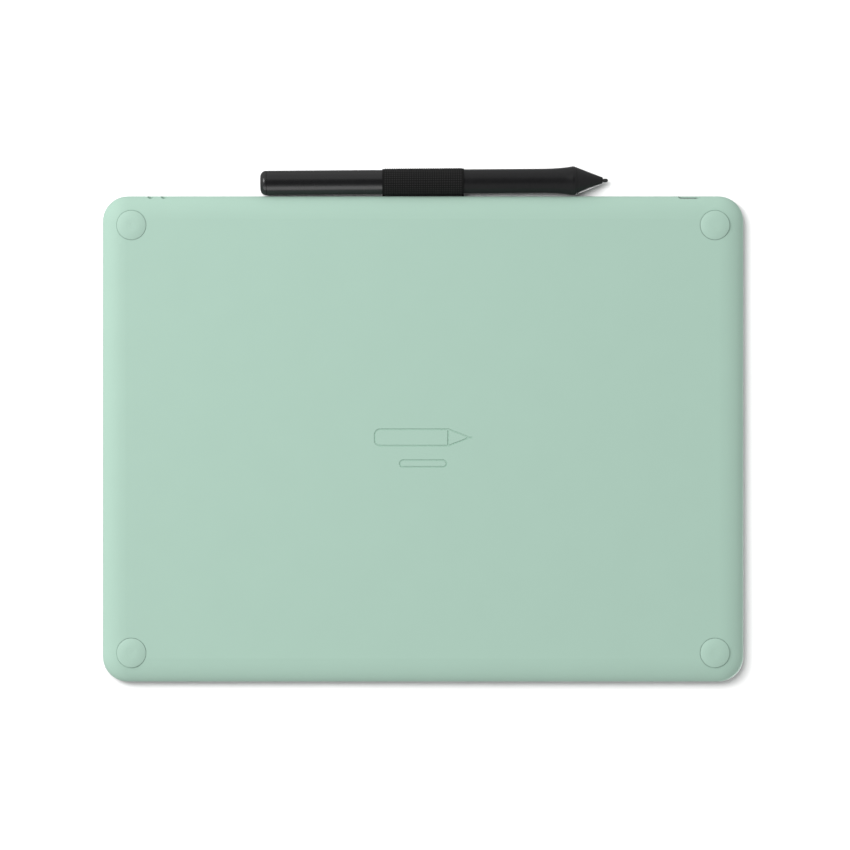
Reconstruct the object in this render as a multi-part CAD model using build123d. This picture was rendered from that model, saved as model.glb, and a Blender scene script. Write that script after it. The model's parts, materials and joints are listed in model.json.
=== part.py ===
from build123d import *
from math import atan2, degrees, radians, sin, cos, tan
import os

# A pen drawing tablet with its pen stowed in a woven loop on the far edge.
# Millimetres. The tablet lies face up on four feet: +X right, +Y away from the user, +Z up.
# Everything is drawn about the middle of the tablet's footprint, and moved into the
# frame of the whole object (tablet and stowed pen) when it is written.

# ---------------------------------------------------------------- tablet body
TABLET_WIDTH = 264.0
TABLET_DEPTH = 200.0
TABLET_HEIGHT = 8.8            # desk to drawing surface
CORNER_RADIUS = 10.3
RIM_WIDTH = 9.8                # how far in the rounded underside edge reaches
RIM_HEIGHT = 5.0               # how far up it reaches
COVER_WALL = 1.6
FRONT_PLATE = 1.6              # thickness of the front cover
PARTING_GAP = 0.12             # shadow line between the two covers
TONGUE_WALL = 1.2              # lip of the front cover inside the back cover
TONGUE_DROP = 1.8
FIT_CLEARANCE = 0.15           # between moulded pieces that slot together
EDGE_FILLET = 0.5
FUSE = 0.2                     # how far ribs and posts are sunk into the wall they grow from

# ---------------------------------------------------------------- feet and housing screws
FOOT_INSET = 12.15             # foot centre from both edges
FOOT_RADIUS = 6.0
FOOT_GROOVE = 0.16             # ring of air around each foot
FOOT_PROUD = 0.8               # height of the cover above the desk
FOOT_SEAT = 0.8                # depth of the pocket a foot is glued into
FOOT_DOME = 0.66               # how far the foot's face bulges
FOOT_FLAT = 2.2                # radius of the flat that rests on the desk
HOUSING_SHANK = 1.0
HOUSING_HEAD = 2.0
HOUSING_HEAD_HEIGHT = 1.2
HOUSING_HOLE_GAP = 0.2
HEAD_SINK = 0.4                # air between a screw's head and its foot
HOUSING_TIP_GAP = 0.4
HEAD_SEAT_WALL = 1.2           # what the head pulls on
BACK_BOSS = 4.0
FRONT_BOSS = 3.0
BOSS_GAP = 0.1
SCREW_CLEARANCE = 0.05

# ---------------------------------------------------------------- drawing surface and sensor
SHEET_SIDE_MARGIN = 18.0
SHEET_NEAR_MARGIN = 18.5
SHEET_FAR_MARGIN = 34.5
SHEET_CORNER = 3.0
SHEET_RECESS = 0.3
SHEET_THICKNESS = 0.28
SENSOR_THICKNESS = 0.8
SENSOR_INSET = 1.0             # sensor board edge inside the sheet's edge
SHIELD_THICKNESS = 0.25
SHIELD_INSET = 1.0             # and the shield inside the sensor's
RIB_CLEARANCE = 0.05
RIB_WALL = 1.0
RIB_PITCH_X = 32.0
RIB_PITCH_Y = 28.0
RIB_MARGIN = 3.0               # grid's edge inside the drawing surface's edge
RIB_FIRST = 7.0                # first cross rib from the grid's near edge

# ---------------------------------------------------------------- key strip
KEY_ROW_INSET = 16.0           # centre line of the keys from the far edge
TRAY_WIDTH = 11.5
TRAY_DEPTH = 1.3
TRAY_RUNOUT = 8.4              # from the last key to the tray's end
KEY_LENGTH = 22.0
KEY_WIDTH = 8.8
KEY_CORNER = 1.2
KEY_SPACE = 1.2                # between the two keys of a pair
KEY_START = 8.4                # first key's near end from the middle
KEY_GAP = 0.2
KEY_RAISE = 0.12
KEY_TRAVEL = 0.4
KEY_FLANGE = 0.6
KEY_FLANGE_LIP = 1.0
POWER_RADIUS = 4.2
STRIP_DROP = 1.2               # how far the cover is thickened under the tray
STRIP_MARGIN = 2.3             # and how far beyond the tray's sides
STRIP_END = 2.0                # and beyond its ends
LIGHT_LENGTH = 3.2
LIGHT_WIDTH = 1.0
LIGHT_OFFSET = 1.6             # from the tray's edge to the light's centre
LIGHT_CLEARANCE = 0.05
LIGHT_FOOT = 0.5               # height and overhang of the light pipe's foot
LAMP_LENGTH = 1.6
LAMP_WIDTH = 0.8
LAMP_HEIGHT = 0.6

# ---------------------------------------------------------------- main board and what is on it
BOARD_LIFT = 0.8
BOARD_THICKNESS = 1.0
BOARD_FAR_MARGIN = 9.0
BOARD_DEPTH = 21.5
BOARD_RIGHT = 62.0
BOARD_SCREW_HEAD = 1.9
BOARD_SCREW_SHANK = 0.8
BOARD_SCREW_LENGTH = 2.3
BOARD_SCREW_DEPTH = 0.9        # how far its hole goes into the floor
BOARD_BOSS = 2.2
BOARD_HOLE_GAP = 0.2
BOARD_SCREW_HEAD_HEIGHT = 0.9
BOARD_SCREW_INSET = 4.0        # from the board's edges
BOARD_TAB = 6.0                # half length of the board's tab beside the socket
BOARD_TAB_MARGIN = 5.0         # tab's far edge from the far edge of the tablet
SWITCH_SIZE = 4.6
SWITCH_HEIGHT = 0.7
PLUNGER_RADIUS = 1.0
PLUNGER_CLEARANCE = 0.1
PLUNGER_REST = 0.05            # air left under a plunger at the end of its travel
RADIO_X = 33.5                 # centre of the radio module from the board's left end
RADIO_LENGTH = 14.0
RADIO_WIDTH = 11.0
RADIO_SUBSTRATE = 0.5
RADIO_CAN_HEIGHT = 1.2
RADIO_CAN_INSET = 0.6
RADIO_AERIAL = 3.5             # bare stretch of the module beyond the can
CHIP_ROW = 6.0                 # chips and radio, from the board's near edge
FLEX_X = 45.0
FLEX_WIDTH = 12.0
FLEX_THICKNESS = 0.2
FLEX_BEND = 1.2
FLEX_PLUG_LENGTH = 14.0
FLEX_PLUG_DEPTH = 4.0
FLEX_PLUG_HEIGHT = 1.2
FLEX_PLUG_EDGE = 1.5           # socket to the near edge of the main board
FLEX_MARGIN = 4.0              # socket on the sensor to the sensor's far edge

# ---------------------------------------------------------------- ports on the far edge
PORT_INSET = 22.5              # cable socket and tether holes from the side edges
PORT_LOW = 3.4
PORT_WIDTH = 9.2
PORT_HEIGHT = 3.0
PORT_CORNER = 1.2
PORT_DEPTH = 7.0
SOCKET_WIDTH = 7.6
SOCKET_HEIGHT = 2.6
SOCKET_DEPTH = 5.6
SOCKET_WALL = 0.3
SOCKET_SETBACK = 1.0
SOCKET_CUT = 1.1               # slope of its lower corners
SOCKET_GAP = 0.1               # socket to the board's notch
BLADE_WIDTH = 3.8
BLADE_THICKNESS = 0.55
BLADE_OFFSET = 0.1
BLADE_SETBACK = 1.5
TETHER_PITCH = 5.5
TETHER_RADIUS = 1.3
TETHER_DEPTH = 4.0
TETHER_PAD = 6.5               # half length of the thickened wall

# ---------------------------------------------------------------- battery
BATTERY_LENGTH = 62.0
BATTERY_WIDTH = 38.0
BATTERY_MARGIN = 5.5           # cell to the far edge of the drawing surface
BATTERY_ROOM = 0.25            # air above the cell for it to swell
BATTERY_ROUND = 0.8
BAY_GAP = 1.0                  # air round the cell in its bay
PAD_THICKNESS = 0.2
PAD_INSET = 4.0
LEAD_RADIUS = 0.45
LEAD_PITCH = 2.4
LEAD_X = -24.0
LEAD_BOW = 0.5
LEAD_BEND = 3.0
PLUG_LENGTH = 6.0
PLUG_DEPTH = 4.0
PLUG_EDGE = 1.0                # plug to the near edge of the main board
PLUG_COVER = 0.7               # plug above the wires' centre

# ---------------------------------------------------------------- pen
BARREL_RADIUS = 5.05
FLARE_RISE = 0.91              # how far the grip flares above the barrel
BARREL_BORE = 4.0
REAR_CLEARANCE = 0.1           # the pull-off barrel is bored this much wider
PEN_TIP_X = -76.3
NIB_SHOW = 2.2                 # nib seen in front of the nose
NOSE_SEAM_X = -63.15
FLARE_PEAK_X = -61.8
FLARE_START_X = -49.0
BARREL_SEAM_X = -4.0
PEN_TAIL_X = 67.1
TAIL_ROUND = 2.3
TAIL_RIM = 0.3                 # straight rim of the end cap
SEAM_GAP = 0.1
EDGE_BREAK = 0.08              # bevel on the barrels' ends
PEN_EDGE_GAP = 0.5             # pen to tablet side, at the flare and at the tail
PEN_DESK_GAP = 0.34
PEN_CLEARANCE = 0.05           # between pieces inside the pen
FLARE_CREST = 0.4              # half length of the flare's rounded crest
FLARE_DROP = 0.03              # how far the crest's ends lie below its top
NOSE_STEP = 0.42               # nose cone's root below the flare's top
NOSE_MOUTH = 0.86              # radius of the hole for the nib
NOSE_TIP_FACE = 1.0
NOSE_TIP_RADIUS = 1.55
NOSE_TIP_ROUND = 0.7
NOSE_THROAT = 6.1              # length of the hole before the coil's cavity
NOSE_CAVITY = 2.75
NOSE_SPIGOT = 4.2
NIB_LENGTH = 20.0
NIB_RADIUS = 0.72
NIB_BALL = 0.8
NIB_NECK_START = 1.5           # the wide tip narrows to the shank from here
NIB_NECK_END = 1.9
NIB_PRESS = 0.3                # how far the nib gives under the hand
NIB_GRIP = 1.5                 # nib inside its holder
NIB_GRIP_CLEARANCE = 0.03
HOLDER_RADIUS = 1.7
HOLDER_LENGTH = 4.0            # holder behind the nib's end
SENSOR_RADIUS = 2.4
SENSOR_LENGTH = 4.8
CORE_RADIUS = 1.9
CORE_BORE = 1.0
CORE_LENGTH = 9.2
COIL_RADIUS = 2.6
COIL_LENGTH = 7.0
COIL_OFFSET = 0.5              # coil's front behind the core's
ROCKER_LENGTH = 26.0
ROCKER_WIDTH = 4.6
ROCKER_X = -37.0
ROCKER_FLOOR = 3.3             # underside of the rocker's cap, above the pen's axis
ROCKER_PIVOT_Z = 1.9
ROCKER_PROUD = 0.3
ROCKER_GAP = 0.2
ROCKER_DISH_RADIUS = 10.0      # dip for the thumb in the middle of the rocker
ROCKER_DISH_DEPTH = 0.25
ROCKER_HUB = 1.0               # half length of the block on the pin
ROCKER_HUB_WIDTH = 1.9         # and its half width
ROCKER_HUB_LOW = 1.1
ROCKER_STUD_X = 7.0            # studs that press the switches, either side of the pin
ROCKER_STUD_RADIUS = 0.8
ROCKER_STUD_GAP = 0.35
WINDOW_FLOOR = 1.0
PIN_RADIUS = 0.45
PIN_CLEARANCE = 0.03
PIN_LENGTH = 5.6
EAR_GAP = 0.15                 # ears of the inner frame either side of the rocker's block
EAR_THICKNESS = 0.7
EAR_HALF_LENGTH = 1.2
EAR_LOW = -2.2
EAR_TOP = 2.6
CHASSIS_WALL = 0.6
CHASSIS_SIDE = 0.3             # height of the half-pipe's sides above the pen's axis
CHASSIS_FRONT = 1.0            # inner frame in front of the nib's end
BULKHEAD = 1.4
SEAT_START = 1.2               # sensor's seat behind the sensor's front
SEAT_LENGTH = 2.2
PEN_BOARD_WIDTH = 6.2
PEN_BOARD_THICKNESS = 0.8
PEN_BOARD_START = 9.8          # behind the nib's end
PEN_BOARD_END = 11.0           # in front of the barrels' seam
PEN_SWITCH_SIZE = 3.4
PEN_SWITCH_HEIGHT = 0.9
MAGAZINE_FRONT = 9.9           # spare nib holder in front of the barrels' seam
MAGAZINE_REAR = 44.0           # and behind it
SPARE_SPACING = 2.0            # spare nibs from the pen's axis
SPARE_DEPTH = 19.0
SPARE_CLEARANCE = 0.08
SPARE_FLOOR_GAP = 0.5
RING_X = 5.0                   # rubber ring behind the barrels' seam
RING_SECTION = 0.28
RING_SQUASH_GAP = 0.04
RING_GROOVE = 0.5              # half width of its groove
CAP_SPIGOT = 4.5
CAP_HOLE = 0.95                # hole in the tail for pulling nibs
CAP_HOLE_DEPTH = 5.0

# ---------------------------------------------------------------- pen loop
LOOP_WIDTH = 33.5
LOOP_PLY = 0.45
LOOP_SLACK = 0.12
LOOP_SLOT_GAP = 0.3
LOOP_NECK_IN = 5.6             # how far the ribbon ends reach inside the wall
CLAMP_THICKNESS = 1.0
CLAMP_ROOM = 0.1               # clamp to front cover
CLAMP_DEPTH = 4.3
CLAMP_OVERHANG = 5.5
CLAMP_SETBACK = 3.4            # clamp from the tablet's edge
CLAMP_SCREW_HEAD = 1.4
CLAMP_SCREW_HEAD_HEIGHT = 0.8
CLAMP_SCREW_LENGTH = 2.8
CLAMP_SCREW_SINK = 0.85        # depth of the pocket for its head
LEDGE_DEPTH = 8.0
LEDGE_MARGIN = 1.0
WALL_KEEP = 0.5                # outer skin left untouched by ribs and pads

# ---------------------------------------------------------------- moulded mark on the back
MARK_Y = 0.6
MARK_LENGTH = 40.4
MARK_HEIGHT = 7.4
MARK_NOSE = 9.6                # length of the pictogram's pointed end
MARK_TIP = 1.8
MARK_CORNER = 2.6
MARK_LINE = 0.66
MARK_DEPTH = 0.3
BAR_LENGTH = 19.8              # rounded bar under the pictogram
BAR_HEIGHT = 3.4
BAR_DROP = 10.7                # its centre line below the pictogram's

# ================================================================ worked out from the above
HALF_W = TABLET_WIDTH / 2
HALF_D = TABLET_DEPTH / 2
TOP_Z = TABLET_HEIGHT
BACK_Z = FOOT_PROUD
FLOOR_Z = BACK_Z + COVER_WALL
PLATE_Z = TOP_Z - FRONT_PLATE
PARTING_Z = PLATE_Z - PARTING_GAP
SENSOR_Z = PLATE_Z - SENSOR_THICKNESS
SHIELD_Z = SENSOR_Z - SHIELD_THICKNESS
RIB_TOP_Z = SHIELD_Z - RIB_CLEARANCE
STRIP_Z = PLATE_Z - STRIP_DROP
BOARD_Z = FLOOR_Z + BOARD_LIFT
BOARD_TOP_Z = BOARD_Z + BOARD_THICKNESS
KEY_ROW_Y = HALF_D - KEY_ROW_INSET
TRAY_RADIUS = (TRAY_WIDTH ** 2 / 4 + TRAY_DEPTH ** 2) / (2 * TRAY_DEPTH)
TRAY_AXIS_Z = TOP_Z + TRAY_RADIUS - TRAY_DEPTH
KEY_PITCH = KEY_LENGTH + KEY_SPACE
TRAY_LENGTH = 2 * (KEY_START + KEY_LENGTH + KEY_PITCH + TRAY_RUNOUT)
LIGHT_Y = KEY_ROW_Y - TRAY_WIDTH / 2 - LIGHT_OFFSET
SHEET_WIDTH = TABLET_WIDTH - 2 * SHEET_SIDE_MARGIN
SHEET_DEPTH = TABLET_DEPTH - SHEET_NEAR_MARGIN - SHEET_FAR_MARGIN
SHEET_Y = (SHEET_NEAR_MARGIN - SHEET_FAR_MARGIN) / 2
SHEET_FAR_Y = SHEET_Y + SHEET_DEPTH / 2
BOARD_FAR_Y = HALF_D - BOARD_FAR_MARGIN
BOARD_NEAR_Y = BOARD_FAR_Y - BOARD_DEPTH
PORT_X = -(HALF_W - PORT_INSET)
PORT_MIDDLE_Z = PORT_LOW + PORT_HEIGHT / 2
BOARD_LEFT = PORT_X - BOARD_TAB
TETHER_X = HALF_W - PORT_INSET
FOOT_X = HALF_W - FOOT_INSET
FOOT_Y = HALF_D - FOOT_INSET
FOOT_TOP_Z = BACK_Z + FOOT_SEAT
HEAD_SEAT_Z = FOOT_TOP_Z + HOUSING_HEAD_HEIGHT + HEAD_SINK
BACK_BOSS_TOP_Z = HEAD_SEAT_Z + HEAD_SEAT_WALL
BATTERY_Z = FLOOR_Z + PAD_THICKNESS
BATTERY_THICKNESS = SHIELD_Z - BATTERY_ROOM - BATTERY_Z
BATTERY_FAR_Y = SHEET_FAR_Y - BATTERY_MARGIN
BATTERY_NEAR_Y = BATTERY_FAR_Y - BATTERY_WIDTH
LEAD_Z = BATTERY_Z + BATTERY_THICKNESS * 0.72
FLARE_RADIUS = BARREL_RADIUS + FLARE_RISE
REAR_BORE = BARREL_BORE + REAR_CLEARANCE
INNER_RADIUS = BARREL_BORE - PEN_CLEARANCE
NIB_END_X = PEN_TIP_X + NIB_LENGTH
HOLDER_END_X = NIB_END_X + HOLDER_LENGTH
SENSOR_X = HOLDER_END_X + NIB_PRESS + PEN_CLEARANCE
NOSE_FRONT_X = PEN_TIP_X + NIB_SHOW
NOSE_CAVITY_X = NOSE_FRONT_X + NOSE_THROAT
CORE_X = NOSE_CAVITY_X + 2 * PEN_CLEARANCE
MAGAZINE_END_X = BARREL_SEAM_X + MAGAZINE_REAR
TAIL_SEAM_X = PEN_TAIL_X - TAIL_ROUND - TAIL_RIM
PEN_Z = FLARE_RADIUS + PEN_DESK_GAP
PEN_YAW = degrees(atan2(FLARE_RISE, TAIL_SEAM_X - FLARE_PEAK_X))
PEN_Y = HALF_D + PEN_EDGE_GAP + BARREL_RADIUS + TAIL_SEAM_X * tan(radians(PEN_YAW))
PEN_PLACE = Pos(0, PEN_Y, PEN_Z) * Rot(0, 0, -PEN_YAW)
LOOP_BORE = BARREL_RADIUS + LOOP_SLACK
LOOP_NECK_Z = PLATE_Z - CLAMP_THICKNESS - 2 * LOOP_PLY - CLAMP_ROOM
LOOP_REACH = LOOP_WIDTH / 2 + CLAMP_OVERHANG
CLAMP_Y = HALF_D - CLAMP_SETBACK - CLAMP_DEPTH / 2
FRAME_SHIFT_Y = -(PEN_EDGE_GAP + 2 * FLARE_RADIUS) / 2
CORNERS = [(x, y) for x in (-1, 1) for y in (-1, 1)]


# ================================================================ helpers
def block(x0, x1, y0, y1, z0, z1):
    """A box between two corners."""
    middle = Pos((x0 + x1) / 2, (y0 + y1) / 2, (z0 + z1) / 2)
    return middle * Box(x1 - x0, y1 - y0, z1 - z0)


def slab(width, depth, corner, z0, z1, x=0.0, y=0.0):
    """A plate with rounded corners."""
    return Pos(x, y, z0) * extrude(RectangleRounded(width, depth, corner), z1 - z0)


def post(x, y, radius, z0, z1):
    """A round post standing along Z."""
    return Pos(x, y, (z0 + z1) / 2) * Cylinder(radius, z1 - z0)


def rod(x0, x1, radius, y=0.0, z=0.0):
    """A round rod lying along X."""
    return Pos((x0 + x1) / 2, y, z) * Rot(0, 90, 0) * Cylinder(radius, x1 - x0)


def turned(*outline):
    """A body of revolution about X from a closed outline of points (x, radius) or edges."""
    if isinstance(outline[0], tuple):
        face = make_face(Polyline(*outline, close=True))
    else:
        face = make_face(Curve() + list(outline))
    return revolve(face, Axis.X, 360)


def pan(inset, z_low, z_high):
    """The tablet's outline drawn inset, with the underside edge rounded as part of an ellipse.

    Four quarter turns make the corners and four straight runs the sides, round a plain middle.
    """
    corner = CORNER_RADIUS - inset
    rim_width = RIM_WIDTH - inset
    rim_height = RIM_HEIGHT - (z_low - BACK_Z)
    flat = corner - rim_width
    section = make_face(Curve() + [
        Line((0, z_low), (flat, z_low)),
        EllipticalCenterArc((flat, z_low + rim_height), rim_width, rim_height, 270,
                            arc_size=90),
        Line((corner, z_low + rim_height), (corner, z_high)),
        Line((corner, z_high), (0, z_high)),
        Line((0, z_high), (0, z_low)),
    ])
    section = Plane.XZ * section
    run_x = HALF_W - CORNER_RADIUS
    run_y = HALF_D - CORNER_RADIUS
    body = block(-run_x, run_x, -run_y, run_y, z_low, z_high)
    side = extrude(section, run_y, both=True)
    end = extrude(section, run_x, both=True)
    for turn in (0, 180):
        body += Rot(0, 0, turn) * Pos(run_x, 0, 0) * side
        body += Rot(0, 0, turn + 90) * Pos(run_y, 0, 0) * end
    quarter = revolve(section, Axis.Z, 90)
    for turn, x, y in ((0, 1, 1), (90, -1, 1), (180, -1, -1), (270, 1, -1)):
        body += Pos(x * run_x, y * run_y, 0) * Rot(0, 0, turn) * quarter
    return body


def screw(head_radius, head_height, shank_radius, length):
    """A cross-head screw standing on its head's underside at Z 0, shank up."""
    head = Pos(0, 0, -head_height / 2) * Cylinder(head_radius, head_height)
    head = fillet(head.edges().group_by(Axis.Z)[0], head_height * 0.4)
    shank = Pos(0, 0, length / 2) * Cylinder(shank_radius, length)
    shank = chamfer(shank.edges().group_by(Axis.Z)[-1], shank_radius * 0.4)
    body = head + shank
    arm = head_radius * 1.1
    slot = head_radius * 0.22
    recess = head_height * 0.55
    for turn in (0, 90):
        body -= Rot(0, 0, turn) * Pos(0, 0, -head_height) * Box(arm, slot, 2 * recess)
    return body


def tray_cutter(shrink):
    """A lying capsule that scoops out the pen tray, smaller by shrink for the key tops."""
    radius = TRAY_RADIUS - shrink
    reach = (TRAY_LENGTH - TRAY_WIDTH) / 2
    cutter = rod(-reach, reach, radius)
    for end in (-reach, reach):
        cutter += Pos(end, 0, 0) * Sphere(radius)
    return Pos(0, KEY_ROW_Y, TRAY_AXIS_Z) * cutter


def key_centres():
    """Middle of each shortcut key along X, left to right."""
    first = KEY_START + KEY_LENGTH / 2
    return [-(first + KEY_PITCH), -first, first, first + KEY_PITCH]


def in_pen(shape):
    """Moves a pen piece from the pen's own axis to where the pen is stowed."""
    return PEN_PLACE * shape


# ================================================================ tablet covers
def moulded_mark():
    """Grooves of the plain pen pictogram and the rounded bar under it, as cutters."""
    half = MARK_LENGTH / 2
    tall = MARK_HEIGHT / 2
    line = MARK_LINE
    shoulder = half - MARK_NOSE
    nose = half - MARK_TIP
    outline = make_face(Polyline(
        (-half, -tall), (shoulder, -tall), (nose, -line), (nose, line),
        (shoulder, tall), (-half, tall), close=True))
    outline = fillet(outline.vertices().group_by(Axis.X)[0], MARK_CORNER)
    pictogram = outline - offset(outline, -line, kind=Kind.INTERSECTION)
    collar = Pos(shoulder - line / 2, 0) * Rectangle(line, MARK_HEIGHT - line)
    tip = Pos(half - MARK_TIP / 2, 0) * Rectangle(MARK_TIP, line)
    bar = SlotOverall(BAR_LENGTH, BAR_HEIGHT) - SlotOverall(BAR_LENGTH - 2 * line, BAR_HEIGHT - 2 * line)
    flat = pictogram + collar + tip + Pos(0, -BAR_DROP) * bar
    flat = mirror(flat, Plane.YZ)
    return Pos(0, MARK_Y, BACK_Z - 1) * extrude(flat, 1 + MARK_DEPTH)


def back_ribs():
    """The stiffening grid that carries the shield plate, open round the battery."""
    low = FLOOR_Z - FUSE
    half = RIB_WALL / 2
    reach_x = SHEET_WIDTH / 2 - RIB_MARGIN
    near = SHEET_Y - SHEET_DEPTH / 2 + RIB_MARGIN
    far = SHEET_FAR_Y - RIB_MARGIN
    first_y = near + RIB_FIRST
    ribs = []
    for i in range(int((far - first_y) // RIB_PITCH_Y) + 1):
        y = first_y + i * RIB_PITCH_Y
        ribs.append(block(-reach_x, reach_x, y - half, y + half, low, RIB_TOP_Z))
    count_x = int((reach_x - half) // RIB_PITCH_X)
    for i in range(-count_x, count_x + 1):
        x = i * RIB_PITCH_X
        ribs.append(block(x - half, x + half, near, far, low, RIB_TOP_Z))
    grid = ribs[0].fuse(*ribs[1:])
    inner_x = BATTERY_LENGTH / 2 + BAY_GAP
    outer_x = inner_x + RIB_WALL
    inner_near = BATTERY_NEAR_Y - BAY_GAP
    outer_near = inner_near - RIB_WALL
    inner_far = BATTERY_FAR_Y + BAY_GAP
    outer_far = inner_far + RIB_WALL
    grid -= block(-outer_x, outer_x, outer_near, far + 1, low, RIB_TOP_Z + 1)
    fence = block(-outer_x, outer_x, outer_near, outer_far, low, BOARD_TOP_Z)
    fence -= block(-inner_x, inner_x, inner_near, inner_far, low - 1, RIB_TOP_Z)
    grid -= flex_window(FLEX_PLUG_DEPTH / 2, low)
    return grid + fence


def flex_window(margin, low):
    """Room for the sensor's connector and ribbon, from below the sensor board."""
    reach = FLEX_PLUG_LENGTH / 2 + margin
    far = SHEET_FAR_Y - FLEX_MARGIN + margin
    return block(FLEX_X - reach, FLEX_X + reach, far - FLEX_PLUG_DEPTH - 2 * margin, far,
                 low, SENSOR_Z)


def back_cover():
    """The coloured tray that forms the underside and sides."""
    outer = pan(0, BACK_Z, PARTING_Z)
    cover = outer - pan(COVER_WALL, FLOOR_Z, PARTING_Z + 1)
    cover += back_ribs()
    low = FLOOR_Z - FUSE
    skin = HALF_D - WALL_KEEP
    ledge = LOOP_REACH + LEDGE_MARGIN
    ledge_block = block(-ledge, ledge, HALF_D - LEDGE_DEPTH, skin, low, LOOP_NECK_Z)
    tether_block = block(TETHER_X - TETHER_PAD, TETHER_X + TETHER_PAD, HALF_D - TETHER_DEPTH, skin,
                         low, PORT_LOW + 2 * TETHER_RADIUS + WALL_KEEP)
    cover += ledge_block & outer
    cover += tether_block & outer
    for x, y in CORNERS:
        cover += post(x * FOOT_X, y * FOOT_Y, BACK_BOSS, low, BACK_BOSS_TOP_Z)
    hole = BOARD_SCREW_SHANK + SCREW_CLEARANCE
    for x, y in board_screw_places():
        cover += post(x, y, BOARD_BOSS, low, BOARD_Z)
        cover -= post(x, y, hole, FLOOR_Z - BOARD_SCREW_DEPTH, BOARD_Z + 1)
    for x in clamp_screw_places():
        cover -= post(x, CLAMP_Y, hole, FLOOR_Z, LOOP_NECK_Z + 1)
    for x, y in CORNERS:
        cover -= Pos(x * FOOT_X, y * FOOT_Y, 0) * foot_pocket()
    cover -= block(-LOOP_WIDTH / 2 - LOOP_SLOT_GAP, LOOP_WIDTH / 2 + LOOP_SLOT_GAP, HALF_D - LEDGE_DEPTH,
                   HALF_D + 1, LOOP_NECK_Z, LOOP_NECK_Z + 2 * LOOP_PLY + FIT_CLEARANCE)
    cover -= port_cutter()
    for step in (-0.5, 0.5):
        tether_hole = Rot(90, 0, 0) * Cylinder(TETHER_RADIUS, 3 * TETHER_DEPTH)
        cover -= Pos(TETHER_X + step * TETHER_PITCH, HALF_D, PORT_LOW + TETHER_RADIUS) * tether_hole
    cover -= moulded_mark()
    return cover


def foot_pocket():
    """A foot's glue pocket, with the screw's head room and hole above it, about its own axis."""
    pocket = post(0, 0, FOOT_RADIUS + FOOT_GROOVE, 0, FOOT_TOP_Z)
    pocket += post(0, 0, HOUSING_HEAD + HOUSING_HOLE_GAP, 0, HEAD_SEAT_Z)
    pocket += post(0, 0, HOUSING_SHANK + HOUSING_HOLE_GAP, 0, BACK_BOSS_TOP_Z + 1)
    return pocket


def port_cutter():
    """The rounded opening for the cable plug."""
    mouth = Plane((PORT_X, HALF_D + 1, PORT_MIDDLE_Z), x_dir=(1, 0, 0), z_dir=(0, -1, 0))
    return extrude(mouth * RectangleRounded(PORT_WIDTH, PORT_HEIGHT, PORT_CORNER),
                   PORT_DEPTH + 1)


def front_cover():
    """The black face: flat plate, tongue, key openings, pen tray and screw bosses."""
    plate = slab(TABLET_WIDTH, TABLET_DEPTH, CORNER_RADIUS, PLATE_Z, TOP_Z)
    plate = fillet(plate.edges().group_by(Axis.Z)[-1], EDGE_FILLET)
    cover = plate + front_tongue()
    strip_x = TRAY_LENGTH / 2 + STRIP_END
    strip_y = TRAY_WIDTH / 2 + STRIP_MARGIN
    cover += block(-strip_x, strip_x, KEY_ROW_Y - strip_y, KEY_ROW_Y + strip_y,
                   STRIP_Z, PLATE_Z + FUSE)
    for x, y in CORNERS:
        fx, fy = x * FOOT_X, y * FOOT_Y
        cover += post(fx, fy, FRONT_BOSS, BACK_BOSS_TOP_Z + BOSS_GAP, PLATE_Z + FUSE)
        cover -= post(fx, fy, HOUSING_SHANK + SCREW_CLEARANCE, BACK_BOSS_TOP_Z, PLATE_Z)
    cover -= tray_cutter(0)
    for x in key_centres():
        cover -= slab(KEY_LENGTH + 2 * KEY_GAP, KEY_WIDTH + 2 * KEY_GAP, KEY_CORNER + KEY_GAP,
                      STRIP_Z - 1, TOP_Z + 1, x, KEY_ROW_Y)
    cover -= post(0, KEY_ROW_Y, POWER_RADIUS + KEY_GAP, STRIP_Z - 1, TOP_Z + 1)
    cover -= slab(SHEET_WIDTH, SHEET_DEPTH, SHEET_CORNER, TOP_Z - SHEET_RECESS, TOP_Z + 1, 0, SHEET_Y)
    cover -= light_slot(LIGHT_CLEARANCE, STRIP_Z - 1, TOP_Z + 1)
    return cover


def front_tongue():
    """The lip that locates the front cover in the back cover, open at the loop and the ports."""
    outer = COVER_WALL + FIT_CLEARANCE
    inner = outer + TONGUE_WALL
    low = PLATE_Z - TONGUE_DROP
    tongue = slab(TABLET_WIDTH - 2 * outer, TABLET_DEPTH - 2 * outer, CORNER_RADIUS - outer,
                  low, PLATE_Z)
    tongue -= slab(TABLET_WIDTH - 2 * inner, TABLET_DEPTH - 2 * inner, CORNER_RADIUS - inner,
                   low - 1, PLATE_Z + 1)
    gaps = [(0, LOOP_REACH + 2 * LEDGE_MARGIN), (PORT_X, BOARD_TAB),
            (TETHER_X, TETHER_PAD + LEDGE_MARGIN)]
    for x, reach in gaps:
        tongue -= block(x - reach, x + reach, HALF_D - inner - 1, HALF_D, low - 1, PLATE_Z)
    return tongue


def light_slot(grow, z0, z1):
    """The status light's outline between two heights."""
    outline = SlotOverall(LIGHT_LENGTH + 2 * grow, LIGHT_WIDTH + 2 * grow)
    return Pos(0, LIGHT_Y, z0) * extrude(outline, z1 - z0)


def status_light_pipe():
    """Clear pipe from the lamp on the board to the window in the face, on a wider foot."""
    low = STRIP_Z - LIGHT_FOOT
    return light_slot(0, low, TOP_Z) + light_slot(LIGHT_FOOT, low, STRIP_Z)


def status_lamp():
    """Small lamp under the light pipe."""
    half_x, half_y = LAMP_LENGTH / 2, LAMP_WIDTH / 2
    return block(-half_x, half_x, LIGHT_Y - half_y, LIGHT_Y + half_y, BOARD_TOP_Z,
                 BOARD_TOP_Z + LAMP_HEIGHT)


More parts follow.
